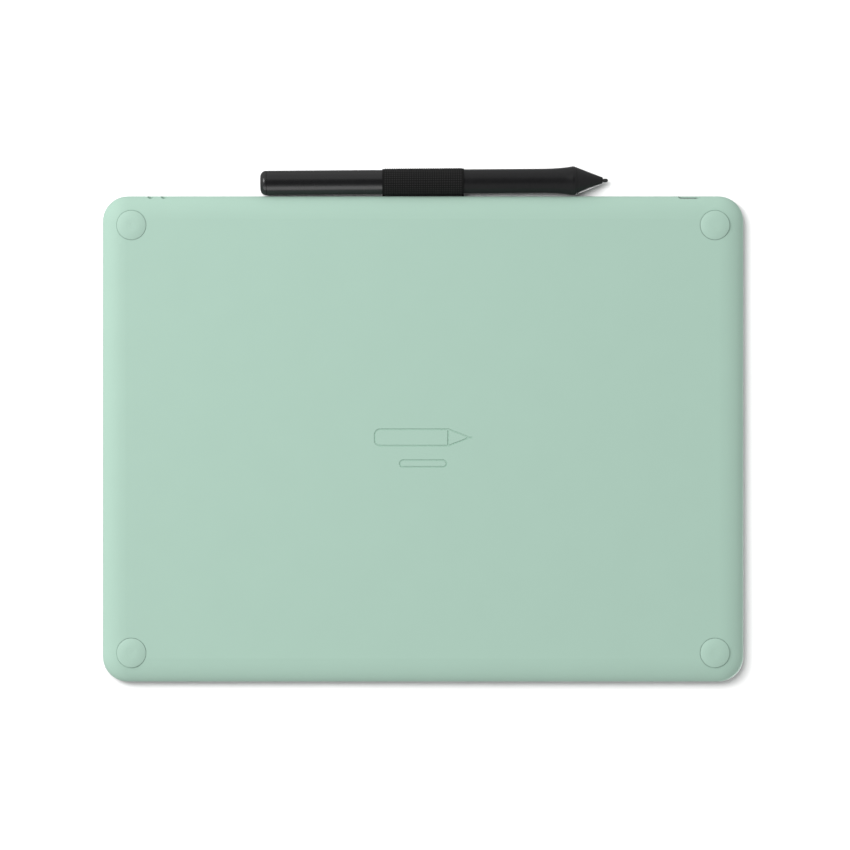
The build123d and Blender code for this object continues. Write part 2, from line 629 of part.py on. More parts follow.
def drawing_sheet():
    """The textured film in its recess."""
    gap = FIT_CLEARANCE
    low = TOP_Z - SHEET_RECESS
    return slab(SHEET_WIDTH - 2 * gap, SHEET_DEPTH - 2 * gap, SHEET_CORNER - gap, low,
                low + SHEET_THICKNESS, 0, SHEET_Y)


def sensor_board():
    """The position sensing board under the drawing surface."""
    return slab(SHEET_WIDTH - 2 * SENSOR_INSET, SHEET_DEPTH - 2 * SENSOR_INSET, SHEET_CORNER,
                SENSOR_Z, PLATE_Z, 0, SHEET_Y)


def shield_plate():
    """Thin steel sheet behind the sensor, with a window for its connector."""
    inset = SENSOR_INSET + SHIELD_INSET
    plate = slab(SHEET_WIDTH - 2 * inset, SHEET_DEPTH - 2 * inset, SHEET_CORNER,
                 SHIELD_Z, SENSOR_Z, 0, SHEET_Y)
    return plate - flex_window(FLEX_PLUG_DEPTH / 4, SHIELD_Z - 1)


def rubber_foot(x, y):
    """A domed round foot glued in its pocket."""
    half = make_face(Curve() + [
        Line((0, FOOT_TOP_Z), (0, 0)),
        Line((0, 0), (FOOT_FLAT, 0)),
        TangentArc((FOOT_FLAT, 0), (FOOT_RADIUS, FOOT_DOME), tangent=(1, 0.02)),
        Line((FOOT_RADIUS, FOOT_DOME), (FOOT_RADIUS, FOOT_TOP_Z)),
        Line((FOOT_RADIUS, FOOT_TOP_Z), (0, FOOT_TOP_Z)),
    ])
    return Pos(x * FOOT_X, y * FOOT_Y, 0) * revolve(Plane.XZ * half, Axis.Z, 360)


def housing_screws():
    """Four screws hidden under the feet."""
    length = PLATE_Z - HOUSING_TIP_GAP - HEAD_SEAT_Z
    one = screw(HOUSING_HEAD, HOUSING_HEAD_HEIGHT, HOUSING_SHANK, length)
    return Compound([Pos(x * FOOT_X, y * FOOT_Y, HEAD_SEAT_Z) * one for x, y in CORNERS])


# ================================================================ keys
def key_piece(x, outline, flange):
    """A key about the tray's axis: cap up to the tray's curve, flange under the cover."""
    cap = Pos(x, KEY_ROW_Y, STRIP_Z) * extrude(outline, TOP_Z - STRIP_Z)
    lip = Pos(x, KEY_ROW_Y, STRIP_Z - KEY_FLANGE) * extrude(flange, KEY_FLANGE)
    return cap - tray_cutter(KEY_RAISE) + lip


def shortcut_key(x):
    """One long key with a scooped top."""
    lip = KEY_FLANGE_LIP
    end_lip = KEY_SPACE / 3
    return key_piece(
        x, RectangleRounded(KEY_LENGTH, KEY_WIDTH, KEY_CORNER),
        RectangleRounded(KEY_LENGTH + 2 * end_lip, KEY_WIDTH + 2 * lip, KEY_CORNER))


def power_button():
    """The round middle button."""
    return key_piece(0, Circle(POWER_RADIUS), Circle(POWER_RADIUS + KEY_FLANGE_LIP))


def switch_plunger(x):
    """The moving pin of the switch under a key."""
    low = BOARD_TOP_Z + KEY_TRAVEL + PLUNGER_REST
    return post(x, KEY_ROW_Y, PLUNGER_RADIUS, low, STRIP_Z - KEY_FLANGE)


def key_switches():
    """The five switch housings on the main board."""
    half = SWITCH_SIZE / 2
    housings = []
    for x in [*key_centres(), 0]:
        housing = block(x - half, x + half, KEY_ROW_Y - half, KEY_ROW_Y + half,
                        BOARD_TOP_Z, BOARD_TOP_Z + SWITCH_HEIGHT)
        well = post(x, KEY_ROW_Y, PLUNGER_RADIUS + PLUNGER_CLEARANCE, BOARD_TOP_Z - 1, TOP_Z)
        housings.append(housing - well)
    return Compound(housings)


# ================================================================ electronics
def board_screw_places():
    """Where the main board is screwed down."""
    near = BOARD_NEAR_Y + BOARD_SCREW_INSET
    far = BOARD_FAR_Y - BOARD_SCREW_INSET
    left = BOARD_LEFT + BOARD_SCREW_INSET
    right = BOARD_RIGHT - BOARD_SCREW_INSET
    middle = -(KEY_START + KEY_LENGTH)
    return [(left, far), (middle, near), (right, near), (right, far)]


def socket_outline():
    """The cable socket's outline: wide side up, lower corners cut."""
    w, h = SOCKET_WIDTH / 2, SOCKET_HEIGHT / 2
    cut = SOCKET_CUT
    return make_face(Polyline((-w, h), (w, h), (w, cut - h), (w - cut, -h), (cut - w, -h),
                              (-w, cut - h), close=True))


def socket_plane():
    """The socket's mouth, looking into the tablet."""
    mouth = (PORT_X, HALF_D - SOCKET_SETBACK, PORT_MIDDLE_Z)
    return Plane(mouth, x_dir=(1, 0, 0), z_dir=(0, -1, 0))


def data_socket_shell():
    """The steel shell of the cable socket, closed at the back."""
    body = extrude(socket_plane() * socket_outline(), SOCKET_DEPTH)
    inside = offset(socket_outline(), -SOCKET_WALL, kind=Kind.INTERSECTION)
    return body - extrude(socket_plane() * inside, SOCKET_DEPTH - SOCKET_WALL)


def data_socket_tongue():
    """The plastic tongue with the contacts."""
    back = HALF_D - SOCKET_SETBACK - SOCKET_DEPTH + SOCKET_WALL
    front = HALF_D - SOCKET_SETBACK - BLADE_SETBACK
    low = PORT_MIDDLE_Z + BLADE_OFFSET
    return block(PORT_X - BLADE_WIDTH / 2, PORT_X + BLADE_WIDTH / 2, back, front,
                 low, low + BLADE_THICKNESS)


def main_board():
    """The control board behind the keys, with a notch for the socket."""
    board = block(BOARD_LEFT, BOARD_RIGHT, BOARD_NEAR_Y, BOARD_FAR_Y, BOARD_Z, BOARD_TOP_Z)
    board += block(BOARD_LEFT, PORT_X + BOARD_TAB, BOARD_FAR_Y - 1, HALF_D - BOARD_TAB_MARGIN,
                   BOARD_Z, BOARD_TOP_Z)
    side = SOCKET_WIDTH / 2 + SOCKET_GAP
    socket_back = HALF_D - SOCKET_SETBACK - SOCKET_DEPTH - SOCKET_GAP
    board -= block(PORT_X - side, PORT_X + side, socket_back, HALF_D, BOARD_Z - 1, BOARD_TOP_Z + 1)
    for x, y in board_screw_places():
        board -= post(x, y, BOARD_SCREW_SHANK + BOARD_HOLE_GAP, BOARD_Z - 1, BOARD_TOP_Z + 1)
    return board


def board_screws():
    """Four short screws for the main board."""
    one = screw(BOARD_SCREW_HEAD, BOARD_SCREW_HEAD_HEIGHT, BOARD_SCREW_SHANK, BOARD_SCREW_LENGTH)
    one = Rot(180, 0, 0) * one
    return Compound([Pos(x, y, BOARD_TOP_Z) * one for x, y in board_screw_places()])


def board_chips():
    """The larger packages on the main board: where along it, then the size."""
    y = BOARD_NEAR_Y + CHIP_ROW
    sizes = ((BOARD_LEFT + 19.5, 4, 4, 0.9), (BOARD_LEFT + 49.5, 9, 9, 1.0),
             (BOARD_LEFT + 63.5, 5, 5, 0.9), (-10, 4, 5, 0.9), (8, 3.2, 2.5, 0.8), (26, 5, 4, 1.0))
    chips = []
    for x, width, depth, height in sizes:
        chips.append(block(x - width / 2, x + width / 2, y - depth / 2, y + depth / 2,
                           BOARD_TOP_Z, BOARD_TOP_Z + height))
    return Compound(chips)


def radio_module():
    """The shielded radio module: a small board, a can and a bare aerial end."""
    x0 = BOARD_LEFT + RADIO_X - RADIO_LENGTH / 2
    y0 = BOARD_NEAR_Y + CHIP_ROW - RADIO_WIDTH / 2
    x1, y1 = x0 + RADIO_LENGTH, y0 + RADIO_WIDTH
    middle = BOARD_TOP_Z + RADIO_SUBSTRATE
    inset = RADIO_CAN_INSET
    base = block(x0, x1, y0, y1, BOARD_TOP_Z, middle)
    can = block(x0 + inset, x1 - RADIO_AERIAL, y0 + inset, y1 - inset, middle,
                middle + RADIO_CAN_HEIGHT)
    return base + fillet(can.edges().group_by(Axis.Z)[-1], inset / 2)


def flex_connectors():
    """The two sockets of the ribbon between the boards."""
    x0, x1 = FLEX_X - FLEX_PLUG_LENGTH / 2, FLEX_X + FLEX_PLUG_LENGTH / 2
    sensor_far = SHEET_FAR_Y - FLEX_MARGIN
    board_near = BOARD_NEAR_Y + FLEX_PLUG_EDGE
    on_sensor = block(x0, x1, sensor_far - FLEX_PLUG_DEPTH, sensor_far,
                      SENSOR_Z - FLEX_PLUG_HEIGHT, SENSOR_Z)
    on_board = block(x0, x1, board_near, board_near + FLEX_PLUG_DEPTH,
                     BOARD_TOP_Z, BOARD_TOP_Z + FLEX_PLUG_HEIGHT)
    return Compound([on_sensor, on_board])


def sensor_flex():
    """The flat ribbon from the sensor board down to the main board."""
    y0, y1 = SHEET_FAR_Y - FLEX_MARGIN, BOARD_NEAR_Y + FLEX_PLUG_EDGE
    z0, z1 = SENSOR_Z - FLEX_PLUG_HEIGHT / 2, BOARD_TOP_Z + FLEX_PLUG_HEIGHT / 2
    third = (y1 - y0) / 3
    path = FilletPolyline((y0, z0), (y0 + third, z0), (y1 - third, z1), (y1, z1), radius=FLEX_BEND)
    start = Plane((FLEX_X - FLEX_WIDTH / 2, 0, 0), x_dir=(0, 1, 0), z_dir=(1, 0, 0))
    return extrude(start * trace(path, FLEX_THICKNESS), FLEX_WIDTH)


def battery_pack():
    """The flat cell under the sensor."""
    half = BATTERY_LENGTH / 2
    cell = block(-half, half, BATTERY_NEAR_Y, BATTERY_FAR_Y, BATTERY_Z, BATTERY_Z + BATTERY_THICKNESS)
    return fillet(cell.edges().filter_by(Axis.Z, reverse=True), BATTERY_ROUND)


def battery_pad():
    """Foam pad that sticks the cell to the back cover."""
    x = BATTERY_LENGTH / 2 - PAD_INSET
    return block(-x, x, BATTERY_NEAR_Y + PAD_INSET, BATTERY_FAR_Y - PAD_INSET, FLOOR_Z, BATTERY_Z)


def battery_plug():
    """The plug of the battery's lead on the main board."""
    y = BOARD_NEAR_Y + PLUG_EDGE
    half = PLUG_LENGTH / 2
    return block(LEAD_X - half, LEAD_X + half, y, y + PLUG_DEPTH, BOARD_TOP_Z, LEAD_Z + PLUG_COVER)


def battery_lead():
    """Two wires from the cell to its plug, bowed apart on the way."""
    start_y = BATTERY_FAR_Y
    quarter = (BOARD_NEAR_Y + PLUG_EDGE - start_y) / 4
    wires = []
    for side in (-1, 1):
        x = LEAD_X + side * LEAD_PITCH / 2
        bowed = x + side * LEAD_BOW
        path = FilletPolyline((x, start_y, LEAD_Z), (x, start_y + quarter, LEAD_Z),
                              (bowed, start_y + 2 * quarter, LEAD_Z),
                              (x, start_y + 3 * quarter, LEAD_Z),
                              (x, start_y + 4 * quarter, LEAD_Z), radius=LEAD_BEND)
        section = Plane(path @ 0, z_dir=path % 0) * Circle(LEAD_RADIUS)
        wires.append(sweep(section, path=path))
    return Compound(wires)


# ================================================================ pen loop and its clamp
def clamp_screw_places():
    """Both screws of the clamp, outside the ribbon."""
    reach = LOOP_WIDTH / 2 + CLAMP_OVERHANG / 2
    return [-reach, reach]


def pen_loop():
    """The woven ribbon: a snug tube round the pen, both ends through the slot together."""
    half = LOOP_WIDTH / 2
    ring = in_pen(rod(-half, half, LOOP_BORE + LOOP_PLY))
    neck = block(-half, half, HALF_D - LOOP_NECK_IN, PEN_Y - LOOP_BORE + LOOP_PLY,
                 LOOP_NECK_Z, LOOP_NECK_Z + 2 * LOOP_PLY)
    return ring + neck - in_pen(rod(-LOOP_WIDTH, LOOP_WIDTH, LOOP_BORE))


def loop_clamp():
    """The bar that pinches the ribbon ends on the ledge, standing on its own two ends."""
    low = LOOP_NECK_Z + 2 * LOOP_PLY
    near, far = CLAMP_Y - CLAMP_DEPTH / 2, CLAMP_Y + CLAMP_DEPTH / 2
    bar = block(-LOOP_REACH, LOOP_REACH, near, far, low, low + CLAMP_THICKNESS)
    inner = LOOP_WIDTH / 2 + LOOP_SLOT_GAP
    for x0, x1 in ((-LOOP_REACH, -inner), (inner, LOOP_REACH)):
        bar += block(x0, x1, near, far, LOOP_NECK_Z, low + FUSE)
    seat = low + CLAMP_THICKNESS - CLAMP_SCREW_SINK
    for x in clamp_screw_places():
        bar -= post(x, CLAMP_Y, BOARD_SCREW_SHANK + PLUNGER_CLEARANCE, LOOP_NECK_Z - 1, low + 2)
        bar -= post(x, CLAMP_Y, CLAMP_SCREW_HEAD + PLUNGER_CLEARANCE, seat, low + 2)
    return bar


def clamp_screws():
    """Two flat-headed screws for the clamp."""
    one = screw(CLAMP_SCREW_HEAD, CLAMP_SCREW_HEAD_HEIGHT, BOARD_SCREW_SHANK, CLAMP_SCREW_LENGTH)
    seat = LOOP_NECK_Z + 2 * LOOP_PLY + CLAMP_THICKNESS - CLAMP_SCREW_SINK
    return Compound([Pos(x, CLAMP_Y, seat) * Rot(180, 0, 0) * one for x in clamp_screw_places()])


# ================================================================ pen
def cross_rod(radius, length):
    """A rod across the pen on the rocker's axis."""
    return Pos(ROCKER_X, 0, ROCKER_PIVOT_Z) * Rot(90, 0, 0) * Cylinder(radius, length)


def pen_front_barrel():
    """The soft grip: straight, then flaring up to the nose, with a window for the rocker."""
    bore = BARREL_BORE
    r = BARREL_RADIUS
    rear = BARREL_SEAM_X
    end = NOSE_SEAM_X
    edge = EDGE_BREAK
    crest = FLARE_RADIUS - FLARE_DROP
    crest_rear = (FLARE_PEAK_X + FLARE_CREST, crest)
    crest_end = (end + 2 * edge, FLARE_RADIUS - 0.7 * NOSE_STEP)
    halfway = (FLARE_PEAK_X + 12 * FLARE_CREST, r + 0.36 * FLARE_RISE)
    shell = turned(
        Line((rear, bore), (rear, r - edge)),
        Line((rear, r - edge), (rear - edge, r)),
        Line((rear - edge, r), (FLARE_START_X, r)),
        Spline((FLARE_START_X, r), halfway, crest_rear, tangents=[(-1, 0), (-1, 0.2)]),
        ThreePointArc(crest_rear, (FLARE_PEAK_X - FLARE_CREST, crest + edge / 8), crest_end),
        Line(crest_end, (end, FLARE_RADIUS - NOSE_STEP)),
        Line((end, FLARE_RADIUS - NOSE_STEP), (end, bore)),
        Line((end, bore), (rear, bore)))
    window = slab(ROCKER_LENGTH + 2 * ROCKER_GAP, ROCKER_WIDTH + 2 * ROCKER_GAP, ROCKER_WIDTH / 2,
                  WINDOW_FLOOR, FLARE_RADIUS + 1, ROCKER_X, 0)
    return in_pen(shell - window)


def pen_nose_cone():
    """The cone in front of the grip, hollow for the coil, with a spigot into the grip."""
    seam = NOSE_SEAM_X - SEAM_GAP
    spigot = seam + NOSE_SPIGOT
    front = NOSE_FRONT_X
    shoulder = (front + NOSE_TIP_ROUND, NOSE_TIP_RADIUS)
    knee = (front + 0.22 * NOSE_TIP_ROUND, 0.85 * NOSE_TIP_RADIUS)
    cone = turned(
        Line((seam, FLARE_RADIUS - NOSE_STEP), shoulder),
        ThreePointArc(shoulder, knee, (front, NOSE_TIP_FACE)),
        Line((front, NOSE_TIP_FACE), (front, NOSE_MOUTH)),
        Line((front, NOSE_MOUTH), (NOSE_CAVITY_X, NOSE_MOUTH)),
        Line((NOSE_CAVITY_X, NOSE_MOUTH), (NOSE_CAVITY_X, NOSE_CAVITY)),
        Line((NOSE_CAVITY_X, NOSE_CAVITY), (spigot, NOSE_CAVITY)),
        Line((spigot, NOSE_CAVITY), (spigot, INNER_RADIUS)),
        Line((spigot, INNER_RADIUS), (seam, INNER_RADIUS)),
        Line((seam, INNER_RADIUS), (seam, FLARE_RADIUS - NOSE_STEP)))
    return in_pen(cone)


def nib_shape():
    """A nib lying along X with its rounded tip at 0."""
    ball = NIB_BALL
    knee = sin(radians(45)) * ball
    return turned(
        ThreePointArc((0, 0), (ball - knee, knee), (ball, ball)),
        Line((ball, ball), (NIB_NECK_START, ball)),
        Line((NIB_NECK_START, ball), (NIB_NECK_END, NIB_RADIUS)),
        Line((NIB_NECK_END, NIB_RADIUS), (NIB_LENGTH, NIB_RADIUS)),
        Line((NIB_LENGTH, NIB_RADIUS), (NIB_LENGTH, 0)),
        Line((NIB_LENGTH, 0), (0, 0)))


def nib():
    """The working nib."""
    return in_pen(Pos(PEN_TIP_X, 0, 0) * nib_shape())


def nib_holder():
    """The sleeve that grips the nib's end and presses on the sensor."""
    front = NIB_END_X - NIB_GRIP
    socket = rod(front - 1, NIB_END_X, NIB_RADIUS + NIB_GRIP_CLEARANCE)
    return in_pen(rod(front, HOLDER_END_X, HOLDER_RADIUS) - socket)


def pressure_sensor():
    """The capsule behind the holder."""
    return in_pen(rod(SENSOR_X, SENSOR_X + SENSOR_LENGTH, SENSOR_RADIUS))


def ferrite_core():
    """The tube-shaped core round the nib."""
    bore = rod(CORE_X - 1, CORE_X + CORE_LENGTH + 1, CORE_BORE)
    return in_pen(rod(CORE_X, CORE_X + CORE_LENGTH, CORE_RADIUS) - bore)


def pen_coil():
    """The copper winding on the core."""
    front = CORE_X + COIL_OFFSET
    bore = rod(front - 1, front + COIL_LENGTH + 1, CORE_RADIUS)
    return in_pen(rod(front, front + COIL_LENGTH, COIL_RADIUS) - bore)


def pen_chassis():
    """The half-pipe that carries the pen's electronics, with bulkheads and rocker ears."""
    outer = BARREL_BORE - 2 * PEN_CLEARANCE
    front = NIB_END_X - CHASSIS_FRONT
    rear = BARREL_SEAM_X - MAGAZINE_FRONT - 2 * PEN_CLEARANCE
    pipe = rod(front, rear, outer) - rod(front - 1, rear + 1, outer - CHASSIS_WALL)
    pipe -= block(front - 1, rear + 1, -outer, outer, CHASSIS_SIDE, outer)
    above = block(front - 1, rear, -outer, outer, EAR_TOP, outer)
    guide = rod(front, front + BULKHEAD, outer)
    guide -= rod(front - 1, front + BULKHEAD + 1, HOLDER_RADIUS + NIB_GRIP_CLEARANCE)
    seat_x = SENSOR_X + SEAT_START
    seat = rod(seat_x, seat_x + SEAT_LENGTH, outer) - rod(front, rear, SENSOR_RADIUS)
    chassis = pipe + (guide - above) + (seat - above)
    inner = ROCKER_HUB_WIDTH + EAR_GAP
    for y0, y1 in ((-inner - EAR_THICKNESS, -inner), (inner, inner + EAR_THICKNESS)):
        chassis += block(ROCKER_X - EAR_HALF_LENGTH, ROCKER_X + EAR_HALF_LENGTH, y0, y1,
                         EAR_LOW, EAR_TOP)
    return in_pen(chassis - cross_rod(PIN_RADIUS, 2 * outer))


def rocker_pin():
    """The steel pin the side switch rocks on."""
    return in_pen(cross_rod(PIN_RADIUS, PIN_LENGTH))


def side_switch():
    """The two-way rocker in the grip, domed along and dished in the middle."""
    half = ROCKER_LENGTH / 2
    crown = BARREL_RADIUS + ROCKER_PROUD
    outline = slab(ROCKER_LENGTH, ROCKER_WIDTH, ROCKER_WIDTH / 2 - PEN_CLEARANCE, ROCKER_FLOOR,
                   FLARE_RADIUS + 1, ROCKER_X, 0)
    rocker = outline & rod(ROCKER_X - half - 1, ROCKER_X + half + 1, crown)
    dish_z = crown + ROCKER_DISH_RADIUS - ROCKER_DISH_DEPTH
    rocker -= Pos(ROCKER_X, 0, dish_z) * Rot(90, 0, 0) * Cylinder(ROCKER_DISH_RADIUS, half)
    sunk = ROCKER_FLOOR + FUSE
    rocker += block(ROCKER_X - ROCKER_HUB, ROCKER_X + ROCKER_HUB, -ROCKER_HUB_WIDTH,
                    ROCKER_HUB_WIDTH, ROCKER_HUB_LOW, sunk)
    for side in (-1, 1):
        rocker += post(ROCKER_X + side * ROCKER_STUD_X, 0, ROCKER_STUD_RADIUS,
                       PEN_SWITCH_HEIGHT + ROCKER_STUD_GAP, sunk)
    return in_pen(rocker - cross_rod(PIN_RADIUS + PIN_CLEARANCE, 3 * ROCKER_HUB_WIDTH))


def pen_board():
    """The pen's narrow circuit board, notched for the rocker's ears."""
    half = PEN_BOARD_WIDTH / 2
    board = block(NIB_END_X + PEN_BOARD_START, BARREL_SEAM_X - PEN_BOARD_END, -half, half,
                  -PEN_BOARD_THICKNESS, 0)
    inner = ROCKER_HUB_WIDTH + EAR_GAP - PEN_CLEARANCE
    reach = EAR_HALF_LENGTH + PEN_CLEARANCE
    for y0, y1 in ((-half - 1, -inner), (inner, half + 1)):
        board -= block(ROCKER_X - reach, ROCKER_X + reach, y0, y1, -1, 1)
    return in_pen(board)


def pen_switches():
    """The two switches under the rocker."""
    half = PEN_SWITCH_SIZE / 2
    pair = []
    for side in (-1, 1):
        x = ROCKER_X + side * ROCKER_STUD_X
        pair.append(in_pen(block(x - half, x + half, -half, half, 0, PEN_SWITCH_HEIGHT)))
    return Compound(pair)


def spare_nib_spots():
    """Where the three spare nibs stand, across the pen."""
    return [(SPARE_SPACING * cos(radians(a)), SPARE_SPACING * sin(radians(a))) for a in (90, 210, 330)]


def nib_magazine():
    """The core that joins both barrels and holds the spare nibs, grooved for its ring."""
    core = rod(BARREL_SEAM_X - MAGAZINE_FRONT, MAGAZINE_END_X, INNER_RADIUS)
    ring_x = BARREL_SEAM_X + RING_X
    groove_floor = REAR_BORE - RING_SQUASH_GAP - 2 * RING_SECTION
    core -= rod(ring_x - RING_GROOVE, ring_x + RING_GROOVE, BARREL_RADIUS) - rod(
        ring_x - 1, ring_x + 1, groove_floor)
    for y, z in spare_nib_spots():
        core -= rod(MAGAZINE_END_X - SPARE_DEPTH, MAGAZINE_END_X + 1, NIB_BALL + SPARE_CLEARANCE, y, z)
    return in_pen(core)


def spare_nibs():
    """Three spare nibs, tips towards the tail."""
    one = Rot(0, 0, 180) * nib_shape()
    tip = MAGAZINE_END_X - SPARE_DEPTH + SPARE_FLOOR_GAP + NIB_LENGTH
    return Compound([in_pen(Pos(tip, y, z) * one) for y, z in spare_nib_spots()])


def barrel_ring():
    """The rubber ring that holds the rear barrel on."""
    ring = Torus(REAR_BORE - RING_SQUASH_GAP - RING_SECTION, RING_SECTION)
    return in_pen(Pos(BARREL_SEAM_X + RING_X, 0, 0) * Rot(0, 90, 0) * ring)


def pen_rear_barrel():
    """The plain rear tube, which pulls off."""
    r = BARREL_RADIUS
    edge = EDGE_BREAK
    front, rear = BARREL_SEAM_X + SEAM_GAP, TAIL_SEAM_X
    tube = turned((front, REAR_BORE), (front, r - edge), (front + edge, r), (rear - edge, r),
                  (rear, r - edge), (rear, REAR_BORE))
    return in_pen(tube)


def pen_end_cap():
    """The rounded end, with a spigot in the tube and a hole for pulling nibs."""
    r = BARREL_RADIUS
    edge = PEN_CLEARANCE
    seam = TAIL_SEAM_X + PEN_CLEARANCE
    inner = TAIL_SEAM_X - CAP_SPIGOT
    corner = PEN_TAIL_X - TAIL_ROUND
    face = r - TAIL_ROUND
    knee = TAIL_ROUND * sin(radians(45))
    cap = turned(
        Line((inner, 0), (inner, REAR_BORE)),
        Line((inner, REAR_BORE), (seam, REAR_BORE)),
        Line((seam, REAR_BORE), (seam, r - edge)),
        Line((seam, r - edge), (seam + edge, r)),
        Line((seam + edge, r), (corner, r)),
        ThreePointArc((corner, r), (corner + knee, face + knee), (PEN_TAIL_X, face)),
        Line((PEN_TAIL_X, face), (PEN_TAIL_X, 0)),
        Line((PEN_TAIL_X, 0), (inner, 0)))
    return in_pen(cap - rod(PEN_TAIL_X - CAP_HOLE_DEPTH, PEN_TAIL_X + 1, CAP_HOLE))


# ================================================================ write every piece
def pieces():
    """Every node by name."""
    made = {
        "back_cover": back_cover(),
        "front_cover": front_cover(),
        "drawing_sheet": drawing_sheet(),
        "sensor_board": sensor_board(),
        "shield_plate": shield_plate(),
        "main_board": main_board(),
        "board_screws": board_screws(),
        "board_chips": board_chips(),
        "radio_module": radio_module(),
        "key_switches": key_switches(),
        "status_lamp": status_lamp(),
        "status_light_pipe": status_light_pipe(),
        "data_socket_shell": data_socket_shell(),
        "data_socket_tongue": data_socket_tongue(),
        "flex_connectors": flex_connectors(),
        "sensor_flex": sensor_flex(),
        "battery_pack": battery_pack(),
        "battery_pad": battery_pad(),
        "battery_plug": battery_plug(),
        "battery_lead": battery_lead(),
        "housing_screws": housing_screws(),
        "pen_loop": pen_loop(),
        "loop_clamp": loop_clamp(),
        "clamp_screws": clamp_screws(),
        "power_button": power_button(),
        "power_switch_plunger": switch_plunger(0),
        "pen_front_barrel": pen_front_barrel(),
        "pen_nose_cone": pen_nose_cone(),
        "pen_chassis": pen_chassis(),
        "pen_board": pen_board(),
        "pen_switches": pen_switches(),
        "pressure_sensor": pressure_sensor(),
        "ferrite_core": ferrite_core(),
        "pen_coil": pen_coil(),
        "rocker_pin": rocker_pin(),
        "side_switch": side_switch(),
        "nib": nib(),
        "nib_holder": nib_holder(),
        "nib_magazine": nib_magazine(),
        "spare_nibs": spare_nibs(),
        "barrel_ring": barrel_ring(),
        "pen_rear_barrel": pen_rear_barrel(),
        "pen_end_cap": pen_end_cap(),
    }
    for (x, y), place in zip(CORNERS, ("near_left", "far_left", "near_right", "far_right")):
        made["rubber_foot_" + place] = rubber_foot(x, y)
    for number, x in enumerate(key_centres(), start=1):
        made[f"shortcut_key_{number}"] = shortcut_key(x)
        made[f"key_{number}_switch_plunger"] = switch_plunger(x)
    return made


os.makedirs("parts", exist_ok=True)
for name, shape in pieces().items():
    export_step(Pos(0, FRAME_SHIFT_Y, 0) * shape, f"parts/{name}.step")
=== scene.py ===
"""Looks of a pen drawing tablet: finishes, ribbon loop, small printed and plated details, and a studio."""
import json
import math

import bmesh
import bpy
from bpy.props import FloatProperty, FloatVectorProperty, IntProperty, PointerProperty
from mathutils import Matrix, Vector


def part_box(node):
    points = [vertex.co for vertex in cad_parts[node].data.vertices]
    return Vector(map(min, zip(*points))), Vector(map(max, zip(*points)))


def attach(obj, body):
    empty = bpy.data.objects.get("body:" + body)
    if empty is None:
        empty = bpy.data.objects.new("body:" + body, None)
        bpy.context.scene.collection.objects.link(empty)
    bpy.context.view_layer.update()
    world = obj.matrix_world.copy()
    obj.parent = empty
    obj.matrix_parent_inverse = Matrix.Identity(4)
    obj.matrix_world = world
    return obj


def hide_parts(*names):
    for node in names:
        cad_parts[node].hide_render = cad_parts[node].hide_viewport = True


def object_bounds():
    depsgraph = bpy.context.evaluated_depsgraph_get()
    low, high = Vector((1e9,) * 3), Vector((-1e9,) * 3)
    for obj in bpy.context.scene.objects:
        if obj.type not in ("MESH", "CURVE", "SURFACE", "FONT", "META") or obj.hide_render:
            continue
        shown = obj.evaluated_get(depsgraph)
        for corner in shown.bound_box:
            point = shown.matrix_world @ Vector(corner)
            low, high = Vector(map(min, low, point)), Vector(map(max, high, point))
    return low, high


bl_info = {
    "name": "Pen Drawing Tablet Looks",
    "version": (1, 0, 0),
    "blender": (4, 5, 0),
    "location": "3D View > Sidebar > Drawing Tablet",
    "description": "Finishes, ribbon pen loop, printed marks and studio of a pen drawing tablet",
    "category": "Object",
}

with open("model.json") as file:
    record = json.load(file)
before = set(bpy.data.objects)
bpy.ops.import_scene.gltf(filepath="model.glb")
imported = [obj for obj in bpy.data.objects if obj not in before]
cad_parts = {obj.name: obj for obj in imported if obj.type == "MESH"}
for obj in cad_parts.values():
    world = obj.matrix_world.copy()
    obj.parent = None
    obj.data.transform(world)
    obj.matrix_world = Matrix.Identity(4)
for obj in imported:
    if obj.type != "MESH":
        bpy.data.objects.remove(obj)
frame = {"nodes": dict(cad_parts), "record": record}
CAD_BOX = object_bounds()
MM = 0.001
# vertex attribute with the weave's height; the ribbon's colour uses it for painted shade in the hollows and
# painted light on the crowns
WEAVE_ATTRIBUTE = "thread_height"
SAME_PLACE = 0.0001 * MM
MARK_ROOT = 0.05 * MM     # how deep a raised mark is rooted in its key
MIX_FROM, MIX_TO, MIX_RESULT = 6, 7, 2     # colour sockets of a Mix node, which share their names
BASE_COLOURS = {m["slot"]: tuple(m["base_color"]) for m in frame["record"]["materials"]}


def centre_of(node):
    """Middle of a CAD node's box."""
    low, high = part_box(node)
    return (low + high) / 2


# ---------------------------------------------------------------- settings
def colour_setting(slot, name, description):
    """A colour property that starts from the part's own record."""
    return FloatVectorProperty(name=name, description=description, subtype="COLOR", size=3,
                               min=0.0, max=1.0, default=BASE_COLOURS[slot])


def length_setting(name, description, default):
    """A length property, in metres."""
    return FloatProperty(name=name, description=description, default=default, min=0.0,
                         unit="LENGTH", subtype="DISTANCE", precision=6)


